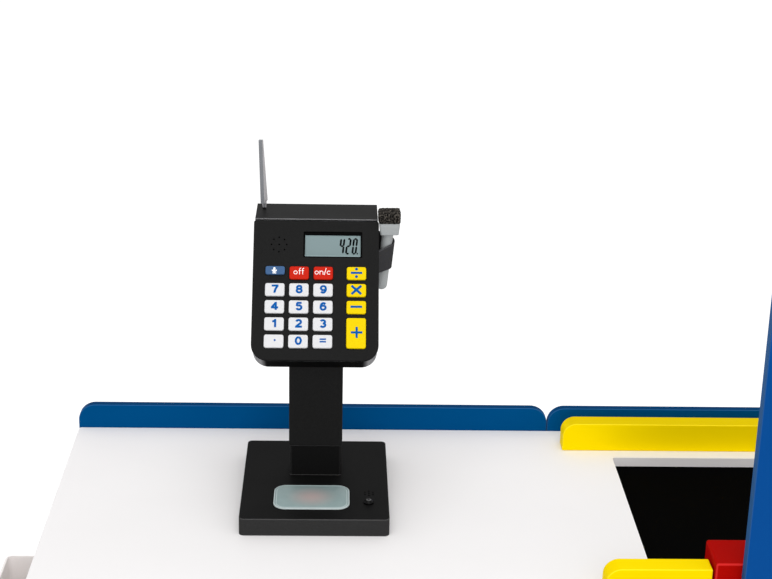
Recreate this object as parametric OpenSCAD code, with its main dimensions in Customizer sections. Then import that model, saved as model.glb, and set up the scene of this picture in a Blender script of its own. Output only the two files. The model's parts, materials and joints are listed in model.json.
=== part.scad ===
// Toy market stall: a counter with a hand-cranked goods belt, a checkout terminal and a sign frame.
// Places are given from the left end of the counter (x), the inner face of the front panels (y)
// and the floor (z). The customer stands at +y and the cashier at -y.

/* [Counter] */
// Width of the counter
stall_w = 998; // [980:1:1040]
// Height of the counter's top face above the floor
counter_h = 520; // [480:1:600]
// Depth of the counter, from the front panels to the cashier's edge
counter_d = 353; // [350:1:360]
// Thickness of the counter board
counter_t = 10; // [8:0.5:12]
// Thickness of the other cabinet boards
board_t = 9; // [8:0.5:12]
// Height of the front panels above the counter
lip_h = 26; // [22:1:40]
// Radius of the front panels' upper corners
lip_r = 18; // [10:1:22]
// Gap between the two front panels
panel_gap = 0.5; // [0.5:0.5:5]
// Rounding of the boards' edges
edge_r = 1.2; // [0.5:0.1:2]
// Height of the floor glides
glide_h = 6; // [4:1:12]
// Outward reach of the side bin
bin_w = 32; // [25:1:50]

/* [Goods belt] */
// Thickness of the belt rails
rail_t = 20; // [12:1:22]
// Height of the belt rails above the counter
rail_h = 30.4; // [20:0.1:40]
// Radius of a rail's upper end corners
rail_r = 14; // [8:1:18]
// Diameter of the two rollers
roller_d = 36; // [30:1:40]
// Thickness of the belt
belt_t = 1.5; // [1:0.1:2]
// Radius of the crank wheel
crank_r = 38; // [34:1:40]

/* [Sign frame] */
// Height of the uprights above the floor
upright_top = 1100; // [1000:10:1200]
// Width of an upright
upright_w = 60; // [50:1:70]
// Thickness of an upright
upright_t = 12; // [10:1:15]
// Height of the header board
header_h = 115; // [90:5:160]

/* [Terminal] */
// Width of the terminal's base
base_w = 140.9; // [138:0.1:150]
// Depth of the terminal's base
base_d = 170.5; // [168:0.5:180]
// Height of the terminal's base
base_h = 17.6; // [16:0.1:20]
// Width of the column's socket
column_w = 50.4; // [46:0.2:54]
// Width of the terminal's head
head_w = 115.5; // [113:0.5:118]
// Length of the head's face along its slope
face_l = 135.5; // [134:0.5:140]
// Backward tilt of the head's face from the vertical
head_tilt = 38; // [36:0.5:40]

/* [Keys] */
// Width of a key
key_w = 17.7; // [16:0.1:19]
// Height of a key along the face
key_h = 12.3; // [11:0.1:13.5]
// How far a key stands above the face
key_rise = 1.8; // [1:0.1:3]
// Travel of a key
key_travel = 1.2; // [0.6:0.1:1.2]

/* [Hidden] */
$fn = 48;
eps = 0.01;

// Where the counter's left end and the front panels' inner face lie, so that the origin is at the
// middle of the stall's footprint.
crank_reach = 48;
left_x = (bin_w - stall_w) / 2;
face_y = (counter_d + crank_reach - board_t) / 2;

// Cabinet
half_w = stall_w / 2;
panel_w = half_w - panel_gap / 2;
under_h = counter_h - counter_t;
wall_h = under_h - glide_h;
bottom_shelf_z = 60;
middle_shelf_z = 300;
shelf_inset = 10;
apron_h = 75;
bin_d = 100;
bin_h = 60;
bin_wall = 2.5;
bin_y = -244;
bin_rim_z = counter_h - 18;
glide_l = 36;

// Goods belt
rail_x0 = half_w + 10.6;
rail_x1 = stall_w - 9.6;
rail_back_y = -29;
rail_front_y = rail_t + 3 - counter_d;
cut_margin = 50.4;
cut_gap = 15.6;
cut_x0 = rail_x0 + cut_margin;
cut_x1 = rail_x1 - cut_margin;
cut_y0 = rail_front_y + cut_gap;
cut_y1 = rail_back_y - rail_t - cut_gap;
roller_r = roller_d / 2;
belt_play = 0.3;
belt_drop = 0.5;
belt_z = under_h - belt_drop;
belt_r = roller_r + belt_play + belt_t;
roller_z = belt_z - belt_r;
roller_xs = [cut_x0 - 16, cut_x1 + 16];
belt_overlap = 7;
belt_y0 = cut_y0 - belt_overlap;
belt_y1 = cut_y1 + belt_overlap;
roller_over = 3;
journal_r = 5;
bush_r = 7;
bush_gap = 0.05;
flange_r = 10;
flange_t = 2;
hub_r = 8;
end_play = 0.5;
bed_gap = 6;
crank_t = 12;
crank_gap = 3;
crank_pin_r = 4;
crank_pin_x = 27;
knob_r = 11;
pin_head_t = 3;

// Sign frame
upright_x0 = 627;
upright_x1 = stall_w - 28 - upright_w;
upright_xs = [upright_x0, upright_x1];
upright_y = -counter_d - upright_t;
block_side = 22.7;
block_w = upright_w + 2 * block_side;
block_d = 45;
block_h = 38;
block_r = 2.5;
screw_r = 2;
screw_head_r = 4;
screw_head_t = 2.4;
screw_gap = 0.05;
screw_x = 18;

// Terminal
terminal_x = 253.3;
base_x = 0.3;
base_y = -237.2;
base_wall = 2.5;
base_roof = 3;
base_r = 5;
base_edge = 0.8;
column_y = -145.4;
column_d = 28;
socket_h = 49.8 - base_h;
sleeve_over = 0.75;
column_wall = 2.2;
tongue_h = 30;
spigot_inset = 3;
spigot_w = column_w - 2 * spigot_inset;
spigot_d = column_d - 2 * spigot_inset;
spigot_z = 7;
fit_gap = 0.1;
window_w = 72.2;
window_d = 48.6;
window_x = -2.8;
window_y = -193.4;
window_r = 12;
window_seat = 1.5;
window_rise = 1;
window_ledge = 3;
pcb_x = -36;
pcb_y = -210;
pcb_w = 94;
pcb_d = 40;
post_inset = 5;
post_h = base_h - 14.1;
button_x = 51.5;
button_y = -203.5;
button_r = 4.5;
button_rise = 4;
button_wall = 1;
buzzer_x = 52;
buzzer_y = -184.2;
buzzer_ring_r = 4.4;
buzzer_hole_r = 0.9;
play = 0.3;

// Terminal head, in the frame of its face: x across, y up the slope and z out of the face
head_x = terminal_x - 0.3;
head_y = -150;
head_z = counter_h + 282.7;
face_t = 3;
face_r = 15;
face_edge = 0.5;
face_start = 1.6;
brow_v = 0.3;
brow_z = 1;
seam = 0.2;
foot_t = 23;
top_depth = 47.5;
top_y = top_depth * sin(head_tilt);
top_z = -top_depth * cos(head_tilt);
back_lean = atan2(foot_t + top_z, face_l + top_y);
head_wall = 2.5;
shell_inset = 1;
shell_w = head_w - 2 * shell_inset;
door_w = 56;
door_l = 44;
door_v = 19;
door_t = 2;
door_seat = 1.2;
pcb_t = 1.6;
pcb_z = -9.6;

// Keys: name, column, row, rows spanned, height of the cap, colour
key_xs = [-37.2, -15.2, 6.8, 37.2];
key_pitch = 16.3;
key_row_v = 52.9;
key_r = 2;
key_gap = 0.3;
key_skirt = 1.2;
key_white = "#f1f1f3";
key_yellow = "#fddc00";
key_red = "#e8341f";
key_slate = "#4a6488";
mic_key_h = 8;
KEYS = [
    ["key_microphone", 0, -0.14, 1, mic_key_h, key_slate],
    ["key_off", 1, 0, 1, key_h, key_red],
    ["key_on_clear", 2, 0, 1, key_h, key_red],
    ["key_divide", 3, 0, 1, key_h, key_yellow],
    ["key_7", 0, 1, 1, key_h, key_white],
    ["key_8", 1, 1, 1, key_h, key_white],
    ["key_9", 2, 1, 1, key_h, key_white],
    ["key_multiply", 3, 1, 1, key_h, key_yellow],
    ["key_4", 0, 2, 1, key_h, key_white],
    ["key_5", 1, 2, 1, key_h, key_white],
    ["key_6", 2, 2, 1, key_h, key_white],
    ["key_minus", 3, 2, 1, key_h, key_yellow],
    ["key_1", 0, 3, 1, key_h, key_white],
    ["key_2", 1, 3, 1, key_h, key_white],
    ["key_3", 2, 3, 1, key_h, key_white],
    ["key_plus", 3, 3.5, 2, key_h + key_pitch, key_yellow],
    ["key_point", 0, 4, 1, key_h, key_white],
    ["key_0", 1, 4, 1, key_h, key_white],
    ["key_equals", 2, 4, 1, key_h, key_white]
];

// Display and loudspeaker
lcd_x = 15.3;
lcd_v = 25.4;
lcd_w = 51.4;
lcd_h = 21.2;
lcd_rim = 1.3;
lcd_sink = 1.2;
lcd_t = 2.6;
speaker_x = -34.1;
speaker_v = 25.2;
speaker_r = 14;
speaker_t = 6;
sound_hole_r = 0.7;
sound_ring_r = 7;

// Microphone, in a frame along its own axis; the band's front and back anchors are in plan, and its
// upper and lower edges slant up towards the back
mic_x = 317.8;
mic_y = -147.5;
mic_z = counter_h + 255.1;
mic_lean = 5.5;
mic_r = 5.4;
mic_tail = 41.5;
mic_neck = 15.2;
collar_h = 11.2;
collar_w = 17;
collar_x = 1.5;
collar_turn = -6.5;
collar_sink = 0.5;
foam_w = 19;
foam_h = 9;
band_gap = 0.9;
band_wall = 1.2;
band_front = [-11, -17.5];
band_back = [-11, 12];
band_top = 7;
band_low = -18;
band_top_slant = 22;
band_low_slant = 13;

// Aerial
aerial_x = 203.5;
aerial_y = -120;
aerial_turn = -13;
aerial_lean = -1.6;
aerial_w = 12;
aerial_tip_w = 3.2;
aerial_t = 3.6;
aerial_h = 68;
aerial_foot = 7;
aerial_boss_r = 2.1;
aerial_stem_r = 1.5;
aerial_stem_l = 10;
aerial_gap = 0.06;

// Moves children to a place on the stall
module place(x, y, z) {
    translate([left_x + x, face_y + y, z]) children();
}

// The material outside a rounded corner at the origin
module corner_waste(r) {
    if (r > 0)
        difference() {
            translate([-1, -1]) square(r + 1);
            translate([r, r]) circle(r);
        }
}

// Rectangle with its own radius at each corner: lower left, lower right, upper right, upper left
module outline(w, h, r) {
    difference() {
        square([w, h]);
        corner_waste(r[0]);
        translate([w, 0]) mirror([1, 0]) corner_waste(r[1]);
        translate([w, h]) rotate(180) corner_waste(r[2]);
        translate([0, h]) mirror([0, 1]) corner_waste(r[3]);
    }
}

// Board of thickness t with corner radii r and edges rounded by e, on its upper face or on both
module soft_panel(w, h, t, r, e, low = true) {
    profile = [0, low ? e : 0, e, 0];
    corners = [
        [r[0], r[0], 180, r[0]],
        [w - r[1], r[1], 270, r[1]],
        [w - r[2], h - r[2], 0, r[2]],
        [r[3], h - r[3], 90, r[3]]
    ];
    sides = [
        [w - e, r[1], 0, h - r[1] - r[2]],
        [w - r[2], h - e, 90, w - r[2] - r[3]],
        [e, h - r[3], 180, h - r[3] - r[0]],
        [r[0], e, 270, w - r[0] - r[1]]
    ];
    translate([e, e, 0]) linear_extrude(t) outline(w - 2 * e, h - 2 * e, [for (v = r) v - e]);
    for (c = corners)
        translate([c[0], c[1], 0]) rotate([0, 0, c[2]])
            rotate_extrude(angle = 90) translate([c[3] - e, 0]) outline(e, t, profile);
    for (s = sides)
        translate([s[0], s[1], 0]) rotate([0, 0, s[2]]) translate([0, s[3], 0])
            rotate([90, 0, 0]) linear_extrude(s[3]) outline(e, t, profile);
}

// Board with four equal corners
module plain_panel(w, h, t, r = edge_r, e = edge_r, low = true) {
    soft_panel(w, h, t, [r, r, r, r], e, low);
}

// Turns a flat board so that it faces the cashier, with its thickness running from y = 0 to +y
module facing_cashier(t) {
    translate([0, t, 0]) rotate([90, 0, 0]) children();
}

// Turns a flat board so that it stands across the stall, with its thickness along +x
module standing_across() {
    rotate([90, 0, 90]) children();
}

// Cylinder along y, from y0 to y1
module along_y(r, y0, y1) {
    translate([0, y1, 0]) rotate([90, 0, 0]) cylinder(r = r, h = y1 - y0);
}

// Countersunk screw whose head is flush with z = 0 and whose shank runs down
module screw(l, gap) {
    translate([0, 0, -screw_head_t])
        cylinder(r1 = screw_r + gap, r2 = screw_head_r + gap, h = screw_head_t + gap);
    translate([0, 0, -l - gap]) cylinder(r = screw_r + gap, h = l - screw_head_t + 2 * gap);
}

// Every visible screw of the stall, or with a gap the holes for them
module screw_set(gap = 0) {
    rows = [
        [counter_h + block_h / 2, upright_t + 26],
        [under_h - 45, upright_t + board_t - 2],
        [upright_top - 28, upright_t + board_t - 2],
        [upright_top - header_h + 28, upright_t + board_t - 2]
    ];
    for (x = upright_xs, s = [-1, 1], row = rows)
        place(x + upright_w / 2 + s * screw_x, upright_y, row[0]) rotate([90, 0, 0]) screw(row[1], gap);
    for (y = [20, bin_d - 20])
        place(-bin_wall, bin_y - y, bin_rim_z - 18) rotate([0, -90, 0]) screw(bin_wall + board_t - 3, gap);
}

// Cabinet

module counter_top() {
    color("#efedee") difference() {
        place(0, -counter_d, under_h) plain_panel(stall_w, counter_d, counter_t, 3);
        place(cut_x0, cut_y0, under_h - 1) linear_extrude(counter_t + 2)
            outline(cut_x1 - cut_x0, cut_y1 - cut_y0, [3, 3, 3, 3]);
    }
}

module front_panel(x) {
    color("#00508f") place(x, 0, glide_h) facing_cashier(board_t)
        soft_panel(panel_w, counter_h + lip_h - glide_h, board_t, [edge_r, edge_r, lip_r, lip_r], edge_r);
}

module front_panel_left() {
    front_panel(0);
}

module front_panel_right() {
    front_panel(stall_w - panel_w);
}

module wall_panel(x) {
    place(x, -counter_d, glide_h) standing_across() plain_panel(counter_d, wall_h, board_t);
}

module end_panel_left() {
    color("#efedee") difference() {
        wall_panel(0);
        screw_set(screw_gap);
    }
}

module end_panel_right() {
    color("#efedee") wall_panel(stall_w - board_t);
}

module centre_panel() {
    color("#efedee") wall_panel(half_w - board_t / 2);
}

module shelf(x, z) {
    bay_w = half_w - 1.5 * board_t;
    place(x, shelf_inset - counter_d, z) plain_panel(bay_w, counter_d - shelf_inset, board_t);
}

module shelves() {
    color("#efedee") {
        shelf(board_t, bottom_shelf_z);
        shelf(board_t, middle_shelf_z);
        shelf(half_w + board_t / 2, bottom_shelf_z);
    }
}

// Board under the counter that carries one end of both rollers
module roller_board(y) {
    bay_w = half_w - 1.5 * board_t;
    difference() {
        place(half_w + board_t / 2, y, under_h - apron_h) facing_cashier(board_t)
            plain_panel(bay_w, apron_h, board_t);
        for (x = roller_xs)
            place(x, y, roller_z) along_y(bush_r + bush_gap, -1, board_t + 1);
    }
}

module apron() {
    color("#efedee") difference() {
        roller_board(-counter_d);
        screw_set(screw_gap);
    }
}

module bearer_board() {
    color("#efedee") roller_board(-board_t);
}

module floor_glides() {
    color("#3a3b3d")
        for (x = [0, half_w - board_t / 2, stall_w - board_t], y = [-counter_d + 12, -12 - glide_l])
            place(x, y, 0) plain_panel(board_t, glide_l, glide_h, board_t / 2 - eps, 1);
}

module wood_screws() {
    color("#b9bcc0") screw_set();
}

module side_bin() {
    r = 6;
    color("#e4e1df") difference() {
        place(-bin_w, bin_y - bin_d, bin_rim_z - bin_h) soft_panel(bin_w, bin_d, bin_h, [r, 1, 1, r], 1);
        place(bin_wall - bin_w, bin_y - bin_d + bin_wall, bin_rim_z - bin_h + bin_wall)
            linear_extrude(bin_h) outline(bin_w - 2 * bin_wall, bin_d - 2 * bin_wall, [r, r, r, r] * 0.6);
        screw_set(screw_gap);
    }
}

// Goods belt

module belt_bed() {
    y0 = board_t - counter_d;
    x0 = roller_xs[0] + roller_r + bed_gap;
    x1 = roller_xs[1] - roller_r - bed_gap;
    color("#c9a777") place(x0, y0, belt_z - belt_t - belt_play - board_t)
        plain_panel(x1 - x0, -board_t - y0, board_t);
}

// Loop outline round both rollers at radius r
module loop_round(r) {
    for (x = roller_xs)
        translate([x, 0]) circle(r);
    translate([roller_xs[0], -r]) square([roller_xs[1] - roller_xs[0], 2 * r]);
}

module belt() {
    color("#17171a") place(0, belt_y1, roller_z) rotate([90, 0, 0]) linear_extrude(belt_y1 - belt_y0)
        difference() {
            loop_round(belt_r);
            loop_round(belt_r - belt_t);
        }
}

// Flanged bush in a board whose inner face is at y = 0, with the board towards +y
module bush() {
    difference() {
        union() {
            along_y(bush_r, 0, board_t);
            along_y(flange_r, -flange_t, 0);
        }
        along_y(journal_r + bush_gap, -flange_t - 1, board_t + 1);
    }
}

module roller_bushes() {
    color("#dcdcd4")
        for (x = roller_xs) {
            place(x, -board_t, roller_z) bush();
            place(x, board_t - counter_d, roller_z) rotate([0, 0, 180]) bush();
        }
}

// Roller with hubs and journals; front_y is where its front journal ends
module roller(x, front_y) {
    body_y0 = belt_y0 - roller_over;
    body_y1 = belt_y1 + roller_over;
    hub_y0 = board_t + flange_t + end_play - counter_d;
    hub_y1 = -board_t - flange_t - end_play;
    profile = [
        [0, front_y], [journal_r, front_y], [journal_r, hub_y0], [hub_r, hub_y0], [hub_r, body_y0],
        [roller_r - 1, body_y0], [roller_r, body_y0 + 1], [roller_r, body_y1 - 1], [roller_r - 1, body_y1],
        [hub_r, body_y1], [hub_r, hub_y1], [journal_r, hub_y1], [journal_r, -1], [0, -1]
    ];
    place(x, 0, roller_z) rotate([-90, 0, 0]) rotate_extrude() polygon(profile);
}

module drive_roller() {
    color("#d8bb8a") roller(roller_xs[0], -counter_d - crank_gap - crank_t + 1);
}

module idler_roller() {
    color("#d8bb8a") roller(roller_xs[1], 1 - counter_d);
}

module crank_wheel() {
    bore_r = journal_r + 0.02;
    web_t = 7;
    rim_w = 7;
    hub = 11;
    profile = [
        [bore_r, 0], [crank_r - 1.5, 0], [crank_r, 1.5], [crank_r, crank_t - 1.5], [crank_r - 1.5, crank_t],
        [crank_r - rim_w, crank_t], [crank_r - rim_w - 2, web_t], [hub + 2, web_t], [hub, crank_t],
        [bore_r, crank_t]
    ];
    color("#c4090b") place(roller_xs[0], -counter_d - crank_gap, roller_z) {
        rotate([90, 0, 0]) rotate_extrude() polygon(profile);
        translate([0, 0, -crank_pin_x]) {
            along_y(crank_pin_r + 3, -crank_t, -web_t + 1);
            along_y(crank_pin_r, play - crank_reach + crank_gap, -crank_t);
            along_y(crank_pin_r + 2, crank_gap - crank_reach, crank_gap - crank_reach + pin_head_t);
        }
    }
}

module crank_knob() {
    y0 = crank_gap - crank_reach + pin_head_t + play;
    knob_l = -crank_t - play - y0;
    bore_r = crank_pin_r + 0.06;
    neck_r = 8;
    profile = [
        [bore_r, 0], [knob_r - 2, 0], [knob_r - 0.6, 0.6], [knob_r, 2], [knob_r, knob_l * 0.5],
        [neck_r, knob_l - 4], [neck_r, knob_l - 1], [neck_r - 1, knob_l], [bore_r, knob_l]
    ];
    color("#fddc00") place(roller_xs[0], -counter_d - crank_gap, roller_z - crank_pin_x)
        translate([0, y0, 0]) rotate([-90, 0, 0]) rotate_extrude() polygon(profile);
}

// Rail on the counter from x0 to x1 with its own radius at each upper end
module rail(x0, x1, y, r_left, r_right) {
    place(x0, y - rail_t, counter_h) facing_cashier(rail_t)
        soft_panel(x1 - x0, rail_h, rail_t, [edge_r, edge_r, r_right, r_left], edge_r);
}

module belt_rail_back() {
    color("#fddc00") rail(rail_x0, rail_x1, rail_back_y, rail_r, rail_r);
}

module belt_rails_front() {
    end_gap = 1.7;
    color("#fddc00") {
        rail(rail_x0, upright_x0 - block_side - end_gap, rail_front_y, rail_r, edge_r);
        rail(upright_x0 + upright_w + block_side + end_gap, upright_x1 - block_side - end_gap,
             rail_front_y, edge_r, edge_r);
    }
}

// Sign frame

module post_blocks() {
    color("#c4090b") difference() {
        for (x = upright_xs)
            place(x - block_side, -counter_d, counter_h)
                plain_panel(block_w, block_d, block_h, block_r, block_r);
        screw_set(screw_gap);
    }
}

module uprights() {
    foot_z = under_h - apron_h;
    color("#0a4f96") difference() {
        for (x = upright_xs)
            place(x, upright_y, foot_z) facing_cashier(upright_t)
                plain_panel(upright_w, upright_top - foot_z, upright_t, lip_r);
        screw_set(screw_gap);
    }
}

module header_board() {
    color("#fddc00") difference() {
        place(upright_x0, -counter_d, upright_top - header_h) facing_cashier(board_t)
            plain_panel(upright_x1 + upright_w - upright_x0, header_h, board_t, lip_r, edge_r);
        screw_set(screw_gap);
    }
}

// Terminal base and column

module on_base(x, y, z) {
    place(terminal_x + x, y, counter_h + z) children();
}

module base_shell() {
    in_w = base_w - 2 * base_wall;
    in_d = base_d - 2 * base_wall;
    ledge_w = window_w - 2 * window_ledge;
    ledge_d = window_d - 2 * window_ledge;
    seat_w = window_w + 2 * seam;
    seat_d = window_d + 2 * seam;
    color("#1c1c1c") difference() {
        on_base(base_x - base_w / 2, base_y, 0)
            plain_panel(base_w, base_d, base_h, base_r, base_edge, false);
        on_base(base_x - in_w / 2, base_y + base_wall, -1) linear_extrude(base_h - base_roof + 1)
            outline(in_w, in_d, [3, 3, 3, 3]);
        on_base(window_x - seat_w / 2, window_y - seat_d / 2, base_h - window_seat)
            linear_extrude(base_h) outline(seat_w, seat_d, [1, 1, 1, 1] * window_r);
        on_base(window_x - ledge_w / 2, window_y - ledge_d / 2, 0)
            linear_extrude(base_h) outline(ledge_w, ledge_d, [1, 1, 1, 1] * (window_r - window_ledge));
        on_base(button_x, button_y, 0) cylinder(r = button_r + play, h = base_h + 1);
        on_base(buzzer_x, buzzer_y, 0) {
            cylinder(r = buzzer_hole_r, h = base_h + 1);
            for (a = [30:60:330])
                rotate(a) translate([buzzer_ring_r, 0, 0]) cylinder(r = buzzer_hole_r, h = base_h + 1);
        }
        on_base(-spigot_w / 2 - fit_gap, column_y + spigot_inset - fit_gap, 0)
            linear_extrude(base_h + 1) square([spigot_w + 2 * fit_gap, spigot_d + 2 * fit_gap]);
    }
}

module base_plate() {
    in_w = base_w - 2 * base_wall - 2 * seam;
    in_d = base_d - 2 * base_wall - 2 * seam;
    color("#202022") {
        on_base(base_x - in_w / 2, base_y + base_wall + seam, 0) linear_extrude(base_wall)
            outline(in_w, in_d, [3, 3, 3, 3]);
        for (x = [post_inset, pcb_w - post_inset], y = [post_inset, pcb_d - post_inset])
            on_base(pcb_x + x, pcb_y + y, base_wall) cylinder(r = 2.5, h = post_h);
    }
}

module scan_window() {
    color("#9aabab") on_base(window_x - window_w / 2, window_y - window_d / 2, base_h - window_seat)
        plain_panel(window_w, window_d, window_seat + window_rise, window_r, 0.9, false);
}

// Circuit board with its red lamps, the switch under the scan button and the buzzer
module scanner_board() {
    board_z = base_wall + post_h;
    board_top = board_z + pcb_t;
    lamp_r = 2.5;
    lamp_h = 3;
    lamp_pitch = 14;
    switch_w = 6;
    switch_h = 2;
    buzzer_r = 5;
    buzzer_h = 5.5;
    color("#2c6b3f") {
        on_base(pcb_x, pcb_y, board_z) cube([pcb_w, pcb_d, pcb_t]);
        for (i = [-1.5:1:1.5])
            on_base(window_x + lamp_pitch * i, window_y, board_top) {
                cylinder(r = lamp_r, h = lamp_h);
                translate([0, 0, lamp_h]) sphere(lamp_r);
            }
        on_base(button_x - switch_w / 2, button_y - switch_w / 2, board_top)
            cube([switch_w, switch_w, switch_h]);
        on_base(buzzer_x, buzzer_y, board_top) cylinder(r = buzzer_r, h = buzzer_h);
    }
}

module scan_button() {
    roof_z = base_h - base_roof;
    skirt_r = button_r + 1.7;
    skirt_z = roof_z - play - 1.5;
    plunger_r = 2;
    plunger_z = skirt_z - 1.4;
    wall_z = base_h + button_wall;
    dome_h = button_rise - button_wall;
    dome_r = (button_r * button_r + dome_h * dome_h) / (2 * dome_h);
    profile = [
        [0, plunger_z], [plunger_r, plunger_z], [plunger_r, skirt_z], [skirt_r, skirt_z],
        [skirt_r, roof_z - play], [button_r, roof_z - play], [button_r, wall_z], [0, wall_z]
    ];
    color("#151515") on_base(button_x, button_y, 0) rotate_extrude() {
        polygon(profile);
        intersection() {
            translate([0, base_h + button_rise - dome_r]) circle(dome_r);
            translate([0, wall_z]) square([button_r, dome_h]);
        }
    }
}

module column_socket() {
    tongue_w = column_w - 2 * column_wall;
    tongue_d = column_d - 2 * column_wall;
    color("#1b1b1b") {
        on_base(-column_w / 2, column_y, base_h) linear_extrude(socket_h)
            outline(column_w, column_d, [2, 2, 2, 2]);
        on_base(-spigot_w / 2, column_y + spigot_inset, spigot_z)
            cube([spigot_w, spigot_d, base_h - spigot_z]);
        on_base(-tongue_w / 2, column_y + column_wall, base_h + socket_h) linear_extrude(tongue_h)
            outline(tongue_w, tongue_d, [1.5, 1.5, 1.5, 1.5]);
    }
}

module column_tube() {
    foot_z = base_h + socket_h;
    tube_w = column_w + 2 * sleeve_over;
    tube_d = column_d + 2 * sleeve_over;
    wall = sleeve_over + column_wall - seam;
    below_top = 16;
    tube_h = head_z - counter_h - foot_z - below_top;
    color("#1c1c1c") difference() {
        on_base(-tube_w / 2, column_y - sleeve_over, foot_z) linear_extrude(tube_h)
            outline(tube_w, tube_d, [2.5, 2.5, 2.5, 2.5]);
        on_base(wall - tube_w / 2, column_y - sleeve_over + wall, 0) linear_extrude(head_z)
            outline(tube_w - 2 * wall, tube_d - 2 * wall, [1.5, 1.5, 1.5, 1.5]);
        head_block(2);
    }
}

// Terminal head

// Frame of the head's face, with its origin at the middle of the face's upper edge
module on_face() {
    place(head_x, head_y, head_z) rotate([90 - head_tilt, 0, 0]) children();
}

// Frame of the head's back, with its origin at the lower edge
module on_back() {
    on_face() translate([0, -face_l, -foot_t]) rotate([back_lean, 0, 0]) children();
}

// Side profile of the head: sloped face, level top and a back that leans a little away from the face
module head_block(side = 0) {
    profile = [[0, 0], [-face_l, 0], [-face_l, -foot_t], [top_y, top_z]];
    on_face() translate([-head_w / 2 - side, 0, 0]) rotate([90, 0, 90])
        linear_extrude(head_w + 2 * side) polygon(profile);
}

// Rear shell, whose brow overhangs the upper edge of the face plate
module head_shell() {
    depth = 60;
    cavity_z = foot_t - head_wall - 0.5;
    color("#1c1c1c") difference() {
        intersection() {
            head_block(-shell_inset);
            union() {
                on_face() translate([-shell_w / 2, -face_l, -depth]) linear_extrude(depth - face_t - seam)
                    outline(shell_w, face_l + depth, [face_r, face_r, 0, 0]);
                on_face() translate([-shell_w / 2, -brow_v, -depth]) cube([shell_w, depth, depth - brow_z]);
            }
        }
        on_face() translate([head_wall - shell_w / 2, head_wall - face_l, -cavity_z])
            linear_extrude(cavity_z)
                outline(shell_w - 2 * head_wall, face_l - 2 * head_wall - 1,
                        [face_r - 2, face_r - 2, 2, 2]);
        place(aerial_x, aerial_y, head_z - aerial_stem_l) cylinder(r = aerial_stem_r + aerial_gap, h = 20);
        on_back() translate([-door_w / 2 - seam, door_v - seam, -1]) linear_extrude(door_seat + 1)
            outline(door_w + 2 * seam, door_l + 2 * seam, [3, 3, 3, 3]);
    }
}

// Cover of the battery bay on the head's back
module battery_door() {
    rib_w = 18;
    rib_pitch = 2.4;
    color("#1e1e1e") on_back() translate([door_w / 2, door_v, door_seat]) rotate([0, 180, 0]) {
        plain_panel(door_w, door_l, door_t, 2.8, 0.6, false);
        for (i = [0:3])
            translate([(door_w - rib_w) / 2, 4 + rib_pitch * i, door_t]) cube([rib_w, 1.1, 0.6]);
    }
}

// Place of a key's centre on the face
function key_at(k) = [key_xs[k[1]], -key_row_v - key_pitch * k[2]];

module head_face() {
    color("#1a1a1b") on_face() difference() {
        translate([-head_w / 2, -face_l, -face_t])
            soft_panel(head_w, face_l - face_start, face_t, [face_r, face_r, 2, 2], face_edge, false);
        for (k = KEYS)
            translate([0, 0, -face_t - 1]) translate(key_at(k)) key_outline(k, key_gap, face_t + 2);
        translate([lcd_x - lcd_w / 2 - lcd_rim, -lcd_v - lcd_h / 2 - lcd_rim, -lcd_sink])
            linear_extrude(face_t) outline(lcd_w + 2 * lcd_rim, lcd_h + 3 * lcd_rim, [1, 1, 1, 1]);
        translate([lcd_x - lcd_w / 2, -lcd_v - lcd_h / 2, -face_t - 1])
            linear_extrude(face_t + 2) square([lcd_w, lcd_h]);
        for (a = [0:45:315])
            translate([speaker_x, -speaker_v, -face_t - 1]) rotate(a) translate([sound_ring_r, 0, 0])
                cylinder(r = sound_hole_r, h = face_t + 2);
        translate([speaker_x, -speaker_v, -face_t - 1]) cylinder(r = sound_hole_r, h = face_t + 2);
    }
}

module lcd_panel() {
    lip = 1.4;
    low_v = -lcd_v - lcd_h / 2 - lip;
    color("#9fb3b1") on_face() translate([lcd_x - lcd_w / 2 - lip, low_v, -face_t - lcd_t]) {
        cube([lcd_w + 2 * lip, lcd_h + 2 * lip, lcd_t]);
        translate([lip + play, lip + play, lcd_t]) cube([lcd_w - 2 * play, lcd_h - 2 * play, 0.8]);
    }
}

module keypad_board() {
    w = 100;
    low = 9;
    top = 40;
    color("#2c6b3f") on_face() translate([-w / 2, low - face_l, pcb_z])
        cube([w, face_l - low - top, pcb_t]);
}

module head_speaker() {
    cone_r = speaker_r - 3;
    profile = [
        [0, 0], [7, 0], [7, 2.5], [speaker_r, 3.5], [speaker_r, speaker_t], [cone_r, speaker_t],
        [4, speaker_t - 1.6], [0, speaker_t - 1]
    ];
    color("#2a2a2c") on_face() translate([speaker_x, -speaker_v, -face_t - speaker_t])
        rotate_extrude() polygon(profile);
}

// Plan of a key, grown by g and standing h high
module key_outline(k, g, h) {
    w = key_w + 2 * g;
    l = k[4] + 2 * g;
    translate([-w / 2, -l / 2, 0]) linear_extrude(h) outline(w, l, [1, 1, 1, 1] * (key_r + g));
}

// Key with a soft-edged cap, a skirt behind the face and a plunger above the circuit board
module key(k) {
    skirt_t = 1.4;
    skirt_z = -face_t - play - skirt_t;
    plunger_end = pcb_z + pcb_t + key_travel + play;
    cap_h = key_rise - skirt_z;
    color(k[5]) on_face() translate(key_at(k)) {
        translate([-key_w / 2, -k[4] / 2, skirt_z]) plain_panel(key_w, k[4], cap_h, key_r, 0.7, false);
        translate([0, 0, skirt_z]) key_outline(k, key_skirt, skirt_t);
        translate([0, 0, plunger_end]) cylinder(r = 2.5, h = skirt_z - plunger_end);
    }
}

// Microphone and aerial

module on_mic() {
    place(mic_x, mic_y, mic_z) rotate([0, mic_lean, 0]) children();
}

// Frame of the microphone's collar, which sits askew on the handle
module on_collar() {
    on_mic() translate([0, 0, mic_neck - collar_sink]) rotate([0, collar_turn, 0])
        translate([collar_x, 0, 0]) children();
}

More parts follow.
